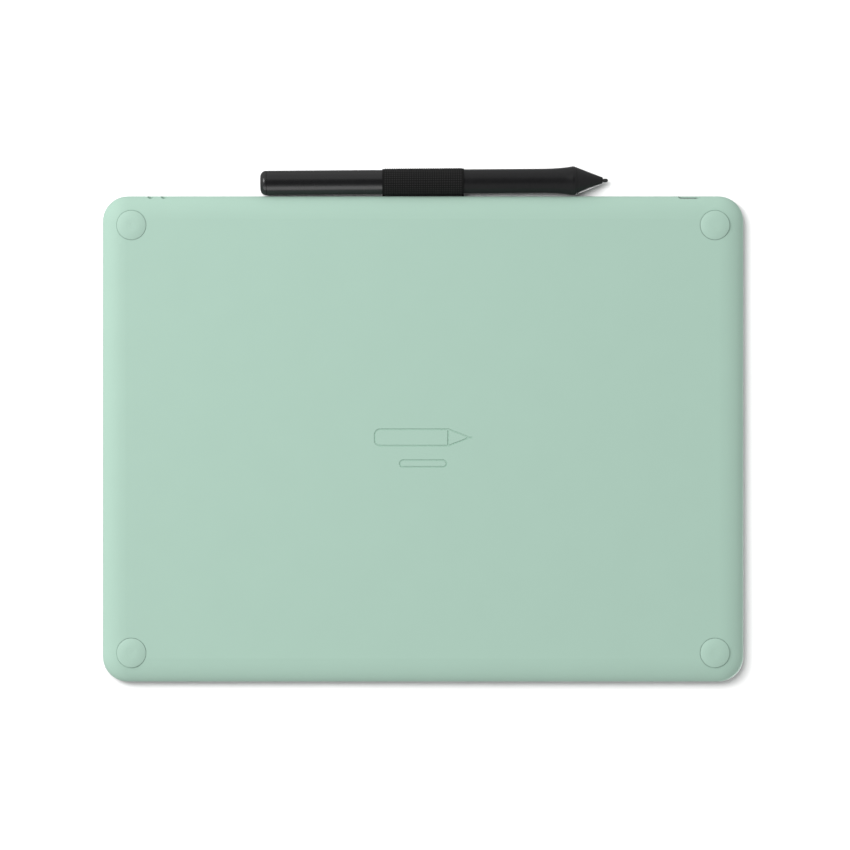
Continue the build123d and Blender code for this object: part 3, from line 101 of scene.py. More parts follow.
class TabletColours(bpy.types.PropertyGroup):
    """Colours that a user would change."""

    back_shell: colour_setting("back_shell", "Back cover", "Satin plastic of the back cover")
    front_shell: colour_setting("front_shell", "Front cover", "Matte plastic of the front cover")
    drawing_film: colour_setting("drawing_film", "Drawing sheet", "Paper-like film under the nib")
    foot_rubber: colour_setting("foot_rubber", "Feet", "Rubber of the four feet")
    key_plastic: colour_setting("key_plastic", "Keys", "Shortcut keys and power button")
    ribbon: colour_setting("ribbon", "Ribbon", "Woven ribbon of the pen loop")
    pen_grip: colour_setting("pen_grip", "Pen grip", "Soft-touch front of the pen")
    pen_barrel: colour_setting("pen_barrel", "Pen barrel", "Satin rear barrel and end cap")
    pen_switch: colour_setting("pen_switch", "Side switch", "Gloss rocker on the pen")
    nib_plastic: colour_setting("nib_plastic", "Nibs", "Acetal of the nib and the spares")
    print_ink: FloatVectorProperty(name="Printed marks", description="Ink of the corner marks",
                                   subtype="COLOR", size=3, min=0.0, max=1.0, default=(0.34, 0.35, 0.36))


class TabletSizes(bpy.types.PropertyGroup):
    """Sizes of the pieces that are modelled here."""

    ribbon_ply: length_setting("Ribbon thickness", "Thickness of one ply of the ribbon", 0.45 * MM)
    weave_repeat: length_setting("Weave repeat", "Length of one over-and-under of the weave", 0.95 * MM)
    thread_pitch: length_setting("Thread pitch", "Distance between two warp threads", 0.95 * MM)
    weave_depth: length_setting("Weave depth", "Height of a thread above the hollows", 0.19 * MM)
    ribbon_bend: length_setting("Ribbon bend", "Radius where the ribbon leaves the slot", 0.35 * MM)
    selvage: length_setting("Selvage", "Width of the ribbon's finished edge", 0.7 * MM)
    mark_leg: length_setting("Corner mark", "Length of a corner mark's legs", 7.0 * MM)
    mark_line: length_setting("Mark line", "Width of a printed line", 0.45 * MM)
    mark_inset: length_setting("Mark inset", "Corner marks from the sheet's edges", 4.0 * MM)
    mark_film: length_setting("Ink film", "Thickness of the printed film", 0.012 * MM)
    key_bar: length_setting("Key bar", "Length of the raised bar on a key", 5.0 * MM)
    key_bar_width: length_setting("Key bar width", "Width of that bar", 0.7 * MM)
    key_bar_height: length_setting("Key bar height", "How far that bar stands up", 0.14 * MM)
    ring_radius: length_setting("Power ring", "Radius of the ring on the power button", 1.35 * MM)
    ring_stroke: length_setting("Ring stroke", "Width of that ring's line", 0.32 * MM)
    ring_gap: FloatProperty(name="Ring gap", description="Opening at the top of that ring",
                            default=math.radians(70.0), min=0.0, subtype="ANGLE")
    contact_thickness: length_setting("Contact thickness", "Thickness of a socket contact", 0.06 * MM)
    contact_count: IntProperty(name="Contacts", description="Contacts in the data socket",
                               default=5, min=1, max=12)


class TabletStudio(bpy.types.PropertyGroup):
    """Camera and light."""

    lens: FloatProperty(name="Lens", description="Focal length in millimetres", default=135.0, min=10.0)
    view_distance: length_setting("View distance", "Camera below the back cover", 1.3083)
    tent_light: FloatProperty(name="Tent", description="Brightness of the light tent", default=0.83,
                              min=0.0)
    key_power: FloatProperty(name="Key light", description="Power of the key light under the tablet",
                             default=8.8, min=0.0, unit="POWER")
    flood_power: FloatProperty(name="Backdrop flood", description="Power of the light on the backdrop",
                               default=21.0, min=0.0, unit="POWER")
    strip_power: FloatProperty(name="Barrel strip", description="Power of the strip seen in the barrel",
                               default=2.9, min=0.0, unit="POWER")
    top_strength: FloatProperty(name="Top light", description="Strength of the soft sun over the tablet",
                                default=1.9, min=0.0)


# ---------------------------------------------------------------- finishes
class Finish:
    """One procedural finish: a Principled shader and the patterns that feed it.

    Sizes of patterns are in metres. A constant goes straight onto the shader's own socket.
    """

    def __init__(self, name, colour, roughness, **constants):
        self.material = bpy.data.materials.new(name)
        self.material.use_nodes = True
        self.tree = self.material.node_tree
        self.shader = self.tree.nodes["Principled BSDF"]
        self.colour = tuple(colour)
        self.roughness = roughness
        self.last_bump = None
        self.shader.inputs["Base Color"].default_value = (*self.colour, 1.0)
        self.shader.inputs["Roughness"].default_value = roughness
        for socket, value in constants.items():
            self.shader.inputs[socket.replace("_", " ")].default_value = value

    def node(self, kind, **settings):
        """A new node; settings whose names are sockets set those sockets."""
        made = self.tree.nodes.new(kind)
        for name, value in settings.items():
            if hasattr(made, name):
                setattr(made, name, value)
            else:
                made.inputs[name.replace("_", " ")].default_value = value
        return made

    def place(self, size, stretch=(1.0, 1.0, 1.0), coordinates="Object"):
        """Coordinates in which one unit is the pattern's size, stretched along each axis."""
        source = self.node("ShaderNodeTexCoord")
        mapping = self.node("ShaderNodeMapping")
        mapping.inputs["Scale"].default_value = [1.0 / (size * s) for s in stretch]
        self.tree.links.new(source.outputs[coordinates], mapping.inputs["Vector"])
        return mapping.outputs["Vector"]

    def noise(self, size, detail=2.0, **where):
        """Cloudy pattern."""
        made = self.node("ShaderNodeTexNoise", Scale=1.0, Detail=detail)
        self.tree.links.new(self.place(size, **where), made.inputs["Vector"])
        return made.outputs["Fac"]

    def cells(self, size, feature="F1", **where):
        """Grain of small rounded cells."""
        made = self.node("ShaderNodeTexVoronoi", feature=feature, Scale=1.0)
        self.tree.links.new(self.place(size, **where), made.inputs["Vector"])
        return made.outputs["Distance"]

    def lines(self, pitch, axis="X", wander=0.0, **where):
        """Parallel ridges, one every pitch along an axis."""
        made = self.node("ShaderNodeTexWave", bands_direction=axis, Scale=1.0, Distortion=wander,
                         Detail=1.0)
        ridge_pitch = 2 * math.pi / 20.0     # of a wave texture at scale 1
        self.tree.links.new(self.place(pitch / ridge_pitch, **where), made.inputs["Vector"])
        return made.outputs["Fac"]

    def between(self, pattern, low, high, start=0.3, stop=0.7):
        """A pattern's values from start to stop, spread from low to high."""
        spread = self.node("ShaderNodeMapRange")
        spread.inputs["From Min"].default_value = start
        spread.inputs["From Max"].default_value = stop
        spread.inputs["To Min"].default_value = low
        spread.inputs["To Max"].default_value = high
        self.tree.links.new(pattern, spread.inputs["Value"])
        return spread.outputs["Result"]

    def tint(self, pattern, share, other=None):
        """Colour that goes lighter and darker by a share, or over to another colour."""
        mix = self.node("ShaderNodeMix", data_type="RGBA")
        dark = [c * (1.0 - share) for c in self.colour] if other is None else self.colour
        light = [min(1.0, c * (1.0 + share)) for c in self.colour] if other is None else other
        mix.inputs[MIX_FROM].default_value = (*dark, 1.0)
        mix.inputs[MIX_TO].default_value = (*light, 1.0)
        self.tree.links.new(self.between(pattern, 0.0, 1.0), mix.inputs["Factor"])
        self.tree.links.new(mix.outputs[MIX_RESULT], self.shader.inputs["Base Color"])
        return self

    def gloss(self, pattern, spread):
        """Roughness that wanders by the spread either way."""
        value = self.between(pattern, self.roughness - spread, self.roughness + spread)
        self.tree.links.new(value, self.shader.inputs["Roughness"])
        return self

    def relief(self, pattern, depth, strength=1.0):
        """Fine surface relief; each call adds to the one before."""
        bump = self.node("ShaderNodeBump", Strength=strength, Distance=depth)
        self.tree.links.new(pattern, bump.inputs["Height"])
        if self.last_bump is not None:
            self.tree.links.new(self.last_bump, bump.inputs["Normal"])
        self.last_bump = bump.outputs["Normal"]
        self.tree.links.new(self.last_bump, self.shader.inputs["Normal"])
        return self


def moulded(name, colour, roughness, grain, depth, clouding=0.03, **constants):
    """Moulded plastic: spark-eroded grain, faint flow clouding and uneven gloss."""
    finish = Finish(name, colour, roughness, **constants)
    finish.tint(finish.noise(18 * MM, detail=3.0), clouding)
    finish.gloss(finish.noise(2.5 * MM, detail=3.0), 0.03)
    finish.relief(finish.cells(grain), depth, 0.6)
    finish.relief(finish.noise(grain * 2.3, detail=3.0), depth * 1.4, 0.5)
    return finish


def back_cover_plastic(colour):
    return moulded("back_cover_satin", colour, 0.5, 0.28 * MM, 0.010 * MM, clouding=0.006,
                   Specular_IOR_Level=0.2)


def front_cover_plastic(colour):
    return moulded("front_cover_matte", colour, 0.56, 0.24 * MM, 0.016 * MM)


def foot_rubber(colour):
    return moulded("foot_rubber", colour, 0.6, 0.4 * MM, 0.014 * MM, clouding=0.012,
                   Specular_IOR_Level=0.35)


def drawing_film(colour):
    """Etched film with a tooth like paper."""
    finish = Finish("drawing_film", colour, 0.62, Sheen_Weight=0.08, Sheen_Roughness=0.4)
    finish.tint(finish.noise(0.35 * MM, detail=4.0), 0.22)
    finish.gloss(finish.noise(9 * MM), 0.015)
    finish.relief(finish.cells(0.16 * MM, feature="SMOOTH_F1"), 0.018 * MM, 0.8)
    return finish.relief(finish.noise(0.5 * MM, detail=5.0), 0.03 * MM, 0.5)


def key_plastic(colour):
    return moulded("key_satin", colour, 0.38, 0.2 * MM, 0.007 * MM)


def soft_grip(colour):
    """Rubber-like paint: dull, with a faint powdery edge glow."""
    finish = moulded("soft_touch_grip", colour, 0.34, 0.22 * MM, 0.008 * MM,
                     Sheen_Weight=0.02, Sheen_Roughness=0.5, Specular_IOR_Level=0.22)
    return finish.tint(finish.noise(1.6 * MM, detail=5.0), 0.12)


def satin_barrel(colour):
    """Satin barrel with the faint lengthways drag marks of moulding."""
    finish = moulded("satin_barrel", colour, 0.25, 0.3 * MM, 0.004 * MM,
                     Specular_IOR_Level=0.4)
    return finish.relief(finish.noise(0.5 * MM, detail=2.0, stretch=(30.0, 1.0, 1.0)), 0.006 * MM, 0.4)


def gloss_switch(colour):
    finish = moulded("side_switch_gloss", colour, 0.26, 0.8 * MM, 0.003 * MM,
                     Coat_Weight=0.2, Coat_Roughness=0.12)
    return finish.gloss(finish.noise(1.2 * MM, detail=5.0), 0.05)


def nib_plastic(colour):
    """Acetal, with a fine streaky relief."""
    finish = moulded("nib_acetal", colour, 0.34, 0.15 * MM, 0.004 * MM)
    return finish.relief(finish.noise(0.12 * MM, stretch=(1.0, 8.0, 8.0)), 0.004 * MM, 0.5)


def woven_ribbon(colour):
    """Black grosgrain: warp threads along the band, cords across it, a little fuzz, and painted shade that
    darkens the weave's hollows and lightens the threads' crowns.
    """
    finish = Finish("woven_ribbon", colour, 0.8, Sheen_Weight=0.05, Sheen_Roughness=0.45,
                    Specular_IOR_Level=0.2)
    finish.shader.inputs["Sheen Tint"].default_value = (0.55, 0.55, 0.57, 1.0)
    fibres = finish.lines(0.16 * MM, axis="X", wander=1.0, coordinates="UV")
    fuzz = finish.noise(0.09 * MM, detail=4.0)
    painted_weave_shade = finish.node("ShaderNodeAttribute", attribute_name=WEAVE_ATTRIBUTE)
    # Painted shade: the colour goes darker in the weave's hollows and lighter on the threads' crowns,
    # following the vertex height.
    finish.tint(painted_weave_shade.outputs["Fac"], 0.75)
    finish.gloss(fuzz, 0.08)
    finish.relief(fibres, 0.02 * MM, 0.6)
    return finish.relief(fuzz, 0.02 * MM, 0.5)


def plated_steel(colour):
    finish = Finish("plated_steel", colour, 0.3, Metallic=1.0)
    finish.tint(finish.noise(1.5 * MM, detail=5.0), 0.1)
    finish.gloss(finish.noise(0.6 * MM, detail=4.0), 0.1)
    return finish.relief(finish.noise(0.12 * MM, stretch=(9.0, 1.0, 1.0)), 0.004 * MM, 0.5)


def circuit_board(colour):
    """Solder mask over copper tracks: a maze of raised lines."""
    finish = Finish("solder_mask", colour, 0.34, Coat_Weight=0.25, Coat_Roughness=0.2)
    tracks = finish.cells(2.6 * MM, feature="DISTANCE_TO_EDGE")
    edges = finish.between(tracks, 1.0, 0.0, 0.05, 0.11)
    finish.tint(edges, 0.0, other=[min(1.0, c * 1.9) for c in colour])
    finish.gloss(finish.noise(0.7 * MM, detail=3.0), 0.06)
    return finish.relief(edges, 0.03 * MM, 0.8)


def chip_epoxy(colour):
    return moulded("chip_epoxy", colour, 0.55, 0.12 * MM, 0.008 * MM)


def natural_plastic(colour):
    finish = moulded("natural_moulding", colour, 0.5, 0.4 * MM, 0.006 * MM, Subsurface_Weight=0.06)
    finish.shader.inputs["Subsurface Scale"].default_value = 0.6 * MM
    return finish


def light_guide(colour):
    """Milky clear plastic that carries the status light."""
    finish = moulded("light_guide_milky", colour, 0.22, 0.5 * MM, 0.003 * MM,
                     Transmission_Weight=0.25, IOR=1.49)
    return finish


def cell_pouch(colour):
    """Laminated foil with shallow wrinkles."""
    finish = Finish("cell_pouch", colour, 0.32, Metallic=0.7)
    finish.tint(finish.noise(6 * MM, detail=4.0), 0.05)
    finish.gloss(finish.noise(3 * MM, detail=4.0), 0.09)
    finish.relief(finish.noise(5 * MM, detail=3.0, stretch=(3.0, 1.0, 1.0)), 0.15 * MM, 0.5)
    return finish.relief(finish.cells(0.6 * MM), 0.01 * MM, 0.5)


def foam_pad(colour):
    finish = Finish("foam_pad", colour, 0.9)
    finish.tint(finish.cells(0.35 * MM), 0.3)
    finish.gloss(finish.noise(1.0 * MM), 0.06)
    return finish.relief(finish.cells(0.3 * MM), 0.08 * MM, 0.8)


def wire_sleeve(colour):
    finish = moulded("wire_sleeve", colour, 0.4, 0.5 * MM, 0.004 * MM)
    return finish.relief(finish.noise(0.3 * MM, stretch=(1.0, 10.0, 1.0)), 0.005 * MM, 0.5)


def copper_winding(colour):
    """Enamelled wire wound close round the pen's axis."""
    finish = Finish("copper_winding", colour, 0.26, Metallic=1.0, Coat_Weight=0.5, Coat_Roughness=0.12)
    finish.tint(finish.noise(0.4 * MM, detail=3.0), 0.16)
    finish.gloss(finish.noise(0.5 * MM), 0.06)
    return finish.relief(finish.lines(0.12 * MM), 0.03 * MM, 0.9)


def contact_gold():
    """Flash gold on the socket's contacts."""
    finish = Finish("contact_gold", (0.84, 0.6, 0.22), 0.24, Metallic=1.0)
    finish.tint(finish.noise(0.3 * MM, detail=4.0), 0.08)
    finish.gloss(finish.noise(0.2 * MM, detail=3.0), 0.07)
    return finish.relief(finish.noise(0.08 * MM, stretch=(1.0, 10.0, 1.0)), 0.003 * MM, 0.5)


def sintered_ferrite(colour):
    finish = Finish("sintered_ferrite", colour, 0.6, Metallic=0.2)
    finish.tint(finish.noise(0.3 * MM, detail=6.0), 0.25)
    finish.gloss(finish.noise(0.6 * MM, detail=4.0), 0.08)
    return finish.relief(finish.noise(0.15 * MM, detail=5.0), 0.02 * MM, 0.7)


def printed_ink(colour):
    finish = Finish("printed_ink", colour, 0.5)
    finish.tint(finish.noise(0.25 * MM, detail=5.0), 0.14)
    finish.gloss(finish.noise(0.5 * MM), 0.06)
    return finish.relief(finish.noise(0.16 * MM, detail=4.0), 0.006 * MM, 0.6)


FINISHES = {
    "back_shell": back_cover_plastic,
    "front_shell": front_cover_plastic,
    "drawing_film": drawing_film,
    "foot_rubber": foot_rubber,
    "key_plastic": key_plastic,
    "ribbon": woven_ribbon,
    "pen_grip": soft_grip,
    "pen_barrel": satin_barrel,
    "pen_switch": gloss_switch,
    "nib_plastic": nib_plastic,
    "steel": plated_steel,
    "circuit_board": circuit_board,
    "chip_plastic": chip_epoxy,
    "natural_plastic": natural_plastic,
    "light_guide": light_guide,
    "cell_wrap": cell_pouch,
    "foam": foam_pad,
    "lead_wire": wire_sleeve,
    "copper": copper_winding,
    "ferrite": sintered_ferrite,
}
made_finishes = {}


def finish_for(slot):
    """The material of a record slot, made once."""
    if slot not in made_finishes:
        colours = bpy.context.scene.tablet_colours
        colour = getattr(colours, slot) if hasattr(colours, slot) else BASE_COLOURS[slot]
        made_finishes[slot] = FINISHES[slot](colour).material
    return made_finishes[slot]


# ---------------------------------------------------------------- modelling helpers
def deselect_all():
    """Nothing selected, in Object mode."""
    if bpy.context.object is not None and bpy.context.object.mode != "OBJECT":
        bpy.ops.object.mode_set(mode="OBJECT")
    bpy.ops.object.select_all(action="DESELECT")


def new_block(name, low, high):
    """A block between two corners, selected and active."""
    deselect_all()
    low = Vector(low)
    high = Vector(high)
    bpy.ops.mesh.primitive_cube_add(size=1.0, location=(low + high) / 2, scale=high - low)
    piece = bpy.context.object
    piece.name = name
    piece.data.name = name
    bpy.ops.object.transform_apply(location=True, rotation=True, scale=True)
    return piece


def is_upright(edge):
    """Whether an edge runs along Z."""
    return abs((edge.verts[1].co - edge.verts[0].co).normalized().z) > 0.9


def at_height(element, height):
    """Whether an edge or a face lies wholly at a height."""
    return all(abs(vertex.co.z - height) < SAME_PLACE for vertex in element.verts)


def select_edges(piece, wanted):
    """In Edit mode: selects exactly the edges that pass the test."""
    bpy.ops.mesh.select_mode(type="EDGE")
    bpy.ops.mesh.select_all(action="DESELECT")
    mesh = bmesh.from_edit_mesh(piece.data)
    for edge in mesh.edges:
        edge.select = wanted(edge)
    mesh.select_flush_mode()
    bmesh.update_edit_mesh(piece.data)


def select_faces(piece, wanted):
    """In Edit mode: selects exactly the faces that pass the test."""
    bpy.ops.mesh.select_mode(type="FACE")
    bpy.ops.mesh.select_all(action="DESELECT")
    mesh = bmesh.from_edit_mesh(piece.data)
    for face in mesh.faces:
        face.select = wanted(face)
    bmesh.update_edit_mesh(piece.data)


def bevel_edges(piece, wanted, width, segments):
    """Rounds the edges that pass the test."""
    bpy.ops.object.mode_set(mode="EDIT")
    select_edges(piece, wanted)
    bpy.ops.mesh.bevel(offset=width, offset_type="OFFSET", segments=segments, profile=0.5, affect="EDGES")
    bpy.ops.object.mode_set(mode="OBJECT")


def border_top(piece, top, width):
    """A narrow flat border inside the top face, which keeps its shading flat."""
    bpy.ops.object.mode_set(mode="EDIT")
    select_faces(piece, lambda f: at_height(f, top))
    bpy.ops.mesh.inset(thickness=width, depth=0.0)
    bpy.ops.object.mode_set(mode="OBJECT")


def rounded_bar(name, low, high, edge_round):
    """A raised bar with round ends and a softened upper rim."""
    piece = new_block(name, low, high)
    top = high[2]
    half_width = min(high[0] - low[0], high[1] - low[1]) / 2
    end_round = half_width * 0.98
    border = half_width * 0.15
    bevel_edges(piece, is_upright, end_round, 5)
    bevel_edges(piece, lambda e: at_height(e, top), edge_round, 3)
    border_top(piece, top, border)
    return piece


def surface_height(node, x, y):
    """Height of a CAD node's upper surface over a point of the XY plane."""
    above = Vector((x, y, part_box(node)[1].z + 1.0 * MM))
    hit, spot, _, _ = frame["nodes"][node].ray_cast(above, Vector((0.0, 0.0, -1.0)))
    if not hit:
        raise RuntimeError(f"{node} has no surface over {x}, {y}")
    return spot.z


def lay_on(piece, node):
    """Lifts a piece that was modelled on height 0, so that it follows a node's upper surface."""
    for vertex in piece.data.vertices:
        vertex.co.z += surface_height(node, vertex.co.x, vertex.co.y)


def copied(piece, name, matrix):
    """A copy with its own mesh, put in place inside its mesh."""
    twin = piece.copy()
    twin.data = piece.data.copy()
    twin.name = name
    twin.data.name = name
    twin.data.transform(matrix)
    bpy.context.scene.collection.objects.link(twin)
    return twin


def finished(piece, body, slot, material=None, smooth_angle=35.0):
    """Smooth shading, finish and body: what every new piece gets last; the slot picks the finish when no
    material is given.
    """
    deselect_all()
    piece.select_set(True)
    bpy.context.view_layer.objects.active = piece
    bpy.ops.object.shade_smooth_by_angle(angle=math.radians(smooth_angle))
    piece.data.materials.clear()
    piece.data.materials.append(material or finish_for(slot))
    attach(piece, body)
    return piece


# ---------------------------------------------------------------- ribbon loop
def pen_axis():
    """Centre of the pen's axis at X 0, and its slope in the XY plane."""
    near_tip = centre_of("ferrite_core")
    near_middle = centre_of("barrel_ring")
    slope = (near_middle.y - near_tip.y) / (near_middle.x - near_tip.x)
    return near_middle.y - slope * near_middle.x, slope, near_middle.z


class RibbonRoute:
    """Middle line of the ribbon in one YZ plane: in through the slot, round the pen, and out again."""

    def __init__(self, centre_y, centre_z, radius, neck_y, lower_z, upper_z, bend):
        reach = radius + bend
        drop_low = centre_z - (lower_z - bend)
        drop_high = (upper_z + bend) - centre_z
        low_centre = (centre_y - math.sqrt(reach ** 2 - drop_low ** 2), lower_z - bend)
        high_centre = (centre_y - math.sqrt(reach ** 2 - drop_high ** 2), upper_z + bend)
        leave = math.atan2(centre_z - low_centre[1], centre_y - low_centre[0])
        arrive = math.atan2(centre_z - high_centre[1], centre_y - high_centre[0])
        quarter = math.pi / 2
        self.parts = [
            ("line", (neck_y, lower_z), (low_centre[0], lower_z)),
            ("arc", low_centre, bend, quarter, leave),
            ("arc", (centre_y, centre_z), radius, leave - math.pi, arrive + math.pi),
            ("arc", high_centre, bend, arrive, -quarter),
            ("line", (high_centre[0], upper_z), (neck_y, upper_z)),
        ]
        self.lengths = [self.part_length(part) for part in self.parts]
        self.length = sum(self.lengths)

    @staticmethod
    def part_length(part):
        if part[0] == "line":
            return math.dist(part[1], part[2])
        return part[2] * abs(part[4] - part[3])

    def at(self, distance):
        """Point and outward normal, as (y, z) pairs, at a distance along the route."""
        for part, length in zip(self.parts, self.lengths):
            if distance <= length or part is self.parts[-1]:
                break
            distance -= length
        share = min(1.0, distance / length)
        if part[0] == "line":
            start = Vector(part[1])
            ahead = (Vector(part[2]) - start).normalized()
            return start + ahead * distance, Vector((ahead.y, -ahead.x))
        _, centre, radius, first, last = part
        angle = first + (last - first) * share
        spoke = Vector((math.cos(angle), math.sin(angle)))
        outward = spoke if last > first else -spoke
        return Vector(centre) + spoke * radius, outward


# Section of the ribbon's finished edge: places in selvage widths, and how full the ribbon is there
SELVAGE_SECTION = [(0.0, 0.3), (0.06, 0.72), (0.2, 0.97), (0.4, 1.0), (0.85, 1.0), (1.0, 0.85), (1.15, 1.0)]
COLUMNS_PER_THREAD = 4
ROWS_PER_REPEAT = 6


def ribbon_columns(low_x, high_x, selvage, thread_pitch):
    """Across the ribbon: each column's X, how full the edge is there, and how far its warp thread stands.

    The thread is 1 on the middle of a thread and 0 in the gap between two.
    """
    left = [(low_x + step * selvage, fullness, 0.0) for step, fullness in SELVAGE_SECTION]
    right = [(high_x - step * selvage, fullness, 0.0) for step, fullness in reversed(SELVAGE_SECTION)]
    start = left[-1][0]
    span = right[0][0] - start
    threads = round(span / thread_pitch)
    columns = threads * COLUMNS_PER_THREAD
    field = []
    for i in range(1, columns):
        crown = math.sin(math.pi * (i % COLUMNS_PER_THREAD) / COLUMNS_PER_THREAD)
        field.append((start + span * i / columns, 1.0, crown))
    return left + field + right


def weave_height(turn, thread):
    """From -1 in a hollow to 1 on top of a knot, at a turn of the weave's repeat."""
    knot_share = 0.4     # how much higher a thread is at a knot than between two
    return 2.0 * thread * (1.0 - knot_share + knot_share * math.cos(turn)) - 1.0


def ribbon_points(mesh, columns, route_at, repeats, sizes):
    """The ribbon's vertices, one list per column and side, and where each lies on the flat ribbon."""
    crown = mesh.verts.layers.float.new(WEAVE_ATTRIBUTE)
    rows = repeats * ROWS_PER_REPEAT + 1
    faces_of = {1: [], -1: []}
    places = {}
    for x, fullness, thread in columns:
        route = route_at(x)
        column = {1: [], -1: []}
        for row in range(rows):
            along = route.length * row / (rows - 1)
            point, outward = route.at(along)
            turn = 2 * math.pi * repeats * row / (rows - 1)
            hollow = (1.0 - weave_height(turn, thread)) / 2
            half = (sizes.ribbon_ply / 2 - sizes.weave_depth * hollow) * fullness
            for side in (1, -1):
                spot = point + outward * half * side
                vertex = mesh.verts.new((x, spot.x, spot.y))
                # weave height at this vertex, which the ribbon's colour turns into painted shade in the
                # hollows and painted light on the crowns
                vertex[crown] = 1.0 - hollow
                places[vertex] = (x, along)
                column[side].append(vertex)
        for side in (1, -1):
            faces_of[side].append(column[side])
    return faces_of, places


def close_ribbon(mesh, faces_of):
    """Faces over both sides of the ribbon and round its four edges."""
    outer, inner = faces_of[1], faces_of[-1]
    rows = len(outer[0])
    for side in (outer, inner):
        for here, there in zip(side, side[1:]):
            for i in range(rows - 1):
                mesh.faces.new((here[i], there[i], there[i + 1], here[i + 1]))
    for end in (0, -1):
        for i in range(rows - 1):
            mesh.faces.new((outer[end][i], outer[end][i + 1], inner[end][i + 1], inner[end][i]))
    for end in (0, rows - 1):
        for j in range(len(outer) - 1):
            mesh.faces.new((outer[j][end], outer[j + 1][end], inner[j + 1][end], inner[j][end]))
    bmesh.ops.recalc_face_normals(mesh, faces=mesh.faces)


class TABLET_OT_ribbon(bpy.types.Operator):
    """Weave the ribbon that holds the pen: two plies in the slot and one snug turn round the pen"""

    bl_idname = "tablet.ribbon"
    bl_label = "Ribbon loop"

    def execute(self, context):
        sizes = context.scene.tablet_sizes
        low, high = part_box("pen_loop")
        pen_y, slope, pen_z = pen_axis()
        ply = sizes.ribbon_ply
        radius = (high.z - low.z) / 2 - ply / 2
        lower_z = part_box("loop_clamp")[0].z + ply / 2
        upper_z = lower_z + ply

        def route_at(x):
            """The ribbon's route in the plane at one X."""
            return RibbonRoute(pen_y + slope * x, pen_z, radius, low.y, lower_z, upper_z, sizes.ribbon_bend)

        middle = route_at(0.0)
        columns = ribbon_columns(low.x, high.x, sizes.selvage, sizes.thread_pitch)
        repeats = round(middle.length / sizes.weave_repeat)
        mesh = bmesh.new()
        uv = mesh.loops.layers.uv.new("weave")
        faces_of, places = ribbon_points(mesh, columns, route_at, repeats, sizes)
        close_ribbon(mesh, faces_of)
        for face in mesh.faces:
            for loop in face.loops:
                loop[uv].uv = places[loop.vert]
        data = bpy.data.meshes.new("pen_ribbon")
        mesh.to_mesh(data)
        mesh.free()
        ribbon = bpy.data.objects.new("pen_ribbon", data)
        context.scene.collection.objects.link(ribbon)
        finished(ribbon, "tablet", "ribbon", smooth_angle=80.0)
        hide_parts("pen_loop")
        return {"FINISHED"}


# ---------------------------------------------------------------- small pieces
class TABLET_OT_sheet_marks(bpy.types.Operator):
    """Print the four corner marks of the drawing area"""

    bl_idname = "tablet.sheet_marks"
    bl_label = "Corner marks"

    def execute(self, context):
        sizes = context.scene.tablet_sizes
        low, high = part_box("drawing_sheet")
        line = sizes.mark_line
        leg = sizes.mark_leg
        first = new_block("corner_mark_1", (0.0, 0.0, high.z), (line, line, high.z + sizes.mark_film))
        for axis in (0, 1):
            bpy.ops.object.mode_set(mode="EDIT")
            select_faces(first, lambda f: f.normal[axis] > 0.9 and f.calc_center_median()[1 - axis] <= line)
            push = [0.0, 0.0, 0.0]
            push[axis] = leg - line
            bpy.ops.mesh.extrude_region_move(TRANSFORM_OT_translate={"value": push})
            bpy.ops.object.mode_set(mode="OBJECT")
        corner_round = line * 0.12
        bevel_edges(first, is_upright, corner_round, 2)
        inset = sizes.mark_inset
        corners = [(low.x + inset, low.y + inset), (high.x - inset, low.y + inset),
                   (high.x - inset, high.y - inset), (low.x + inset, high.y - inset)]
        ink = printed_ink(context.scene.tablet_colours.print_ink).material
        marks = [first]
        for turn in (1, 2, 3):
            place = Matrix.Translation((*corners[turn], 0.0)) @ Matrix.Rotation(turn * math.pi / 2, 4, "Z")
            marks.append(copied(first, f"corner_mark_{turn + 1}", place))
        first.data.transform(Matrix.Translation((*corners[0], 0.0)))
        for mark in marks:
            finished(mark, "tablet", "drawing_film", ink)
        return {"FINISHED"}


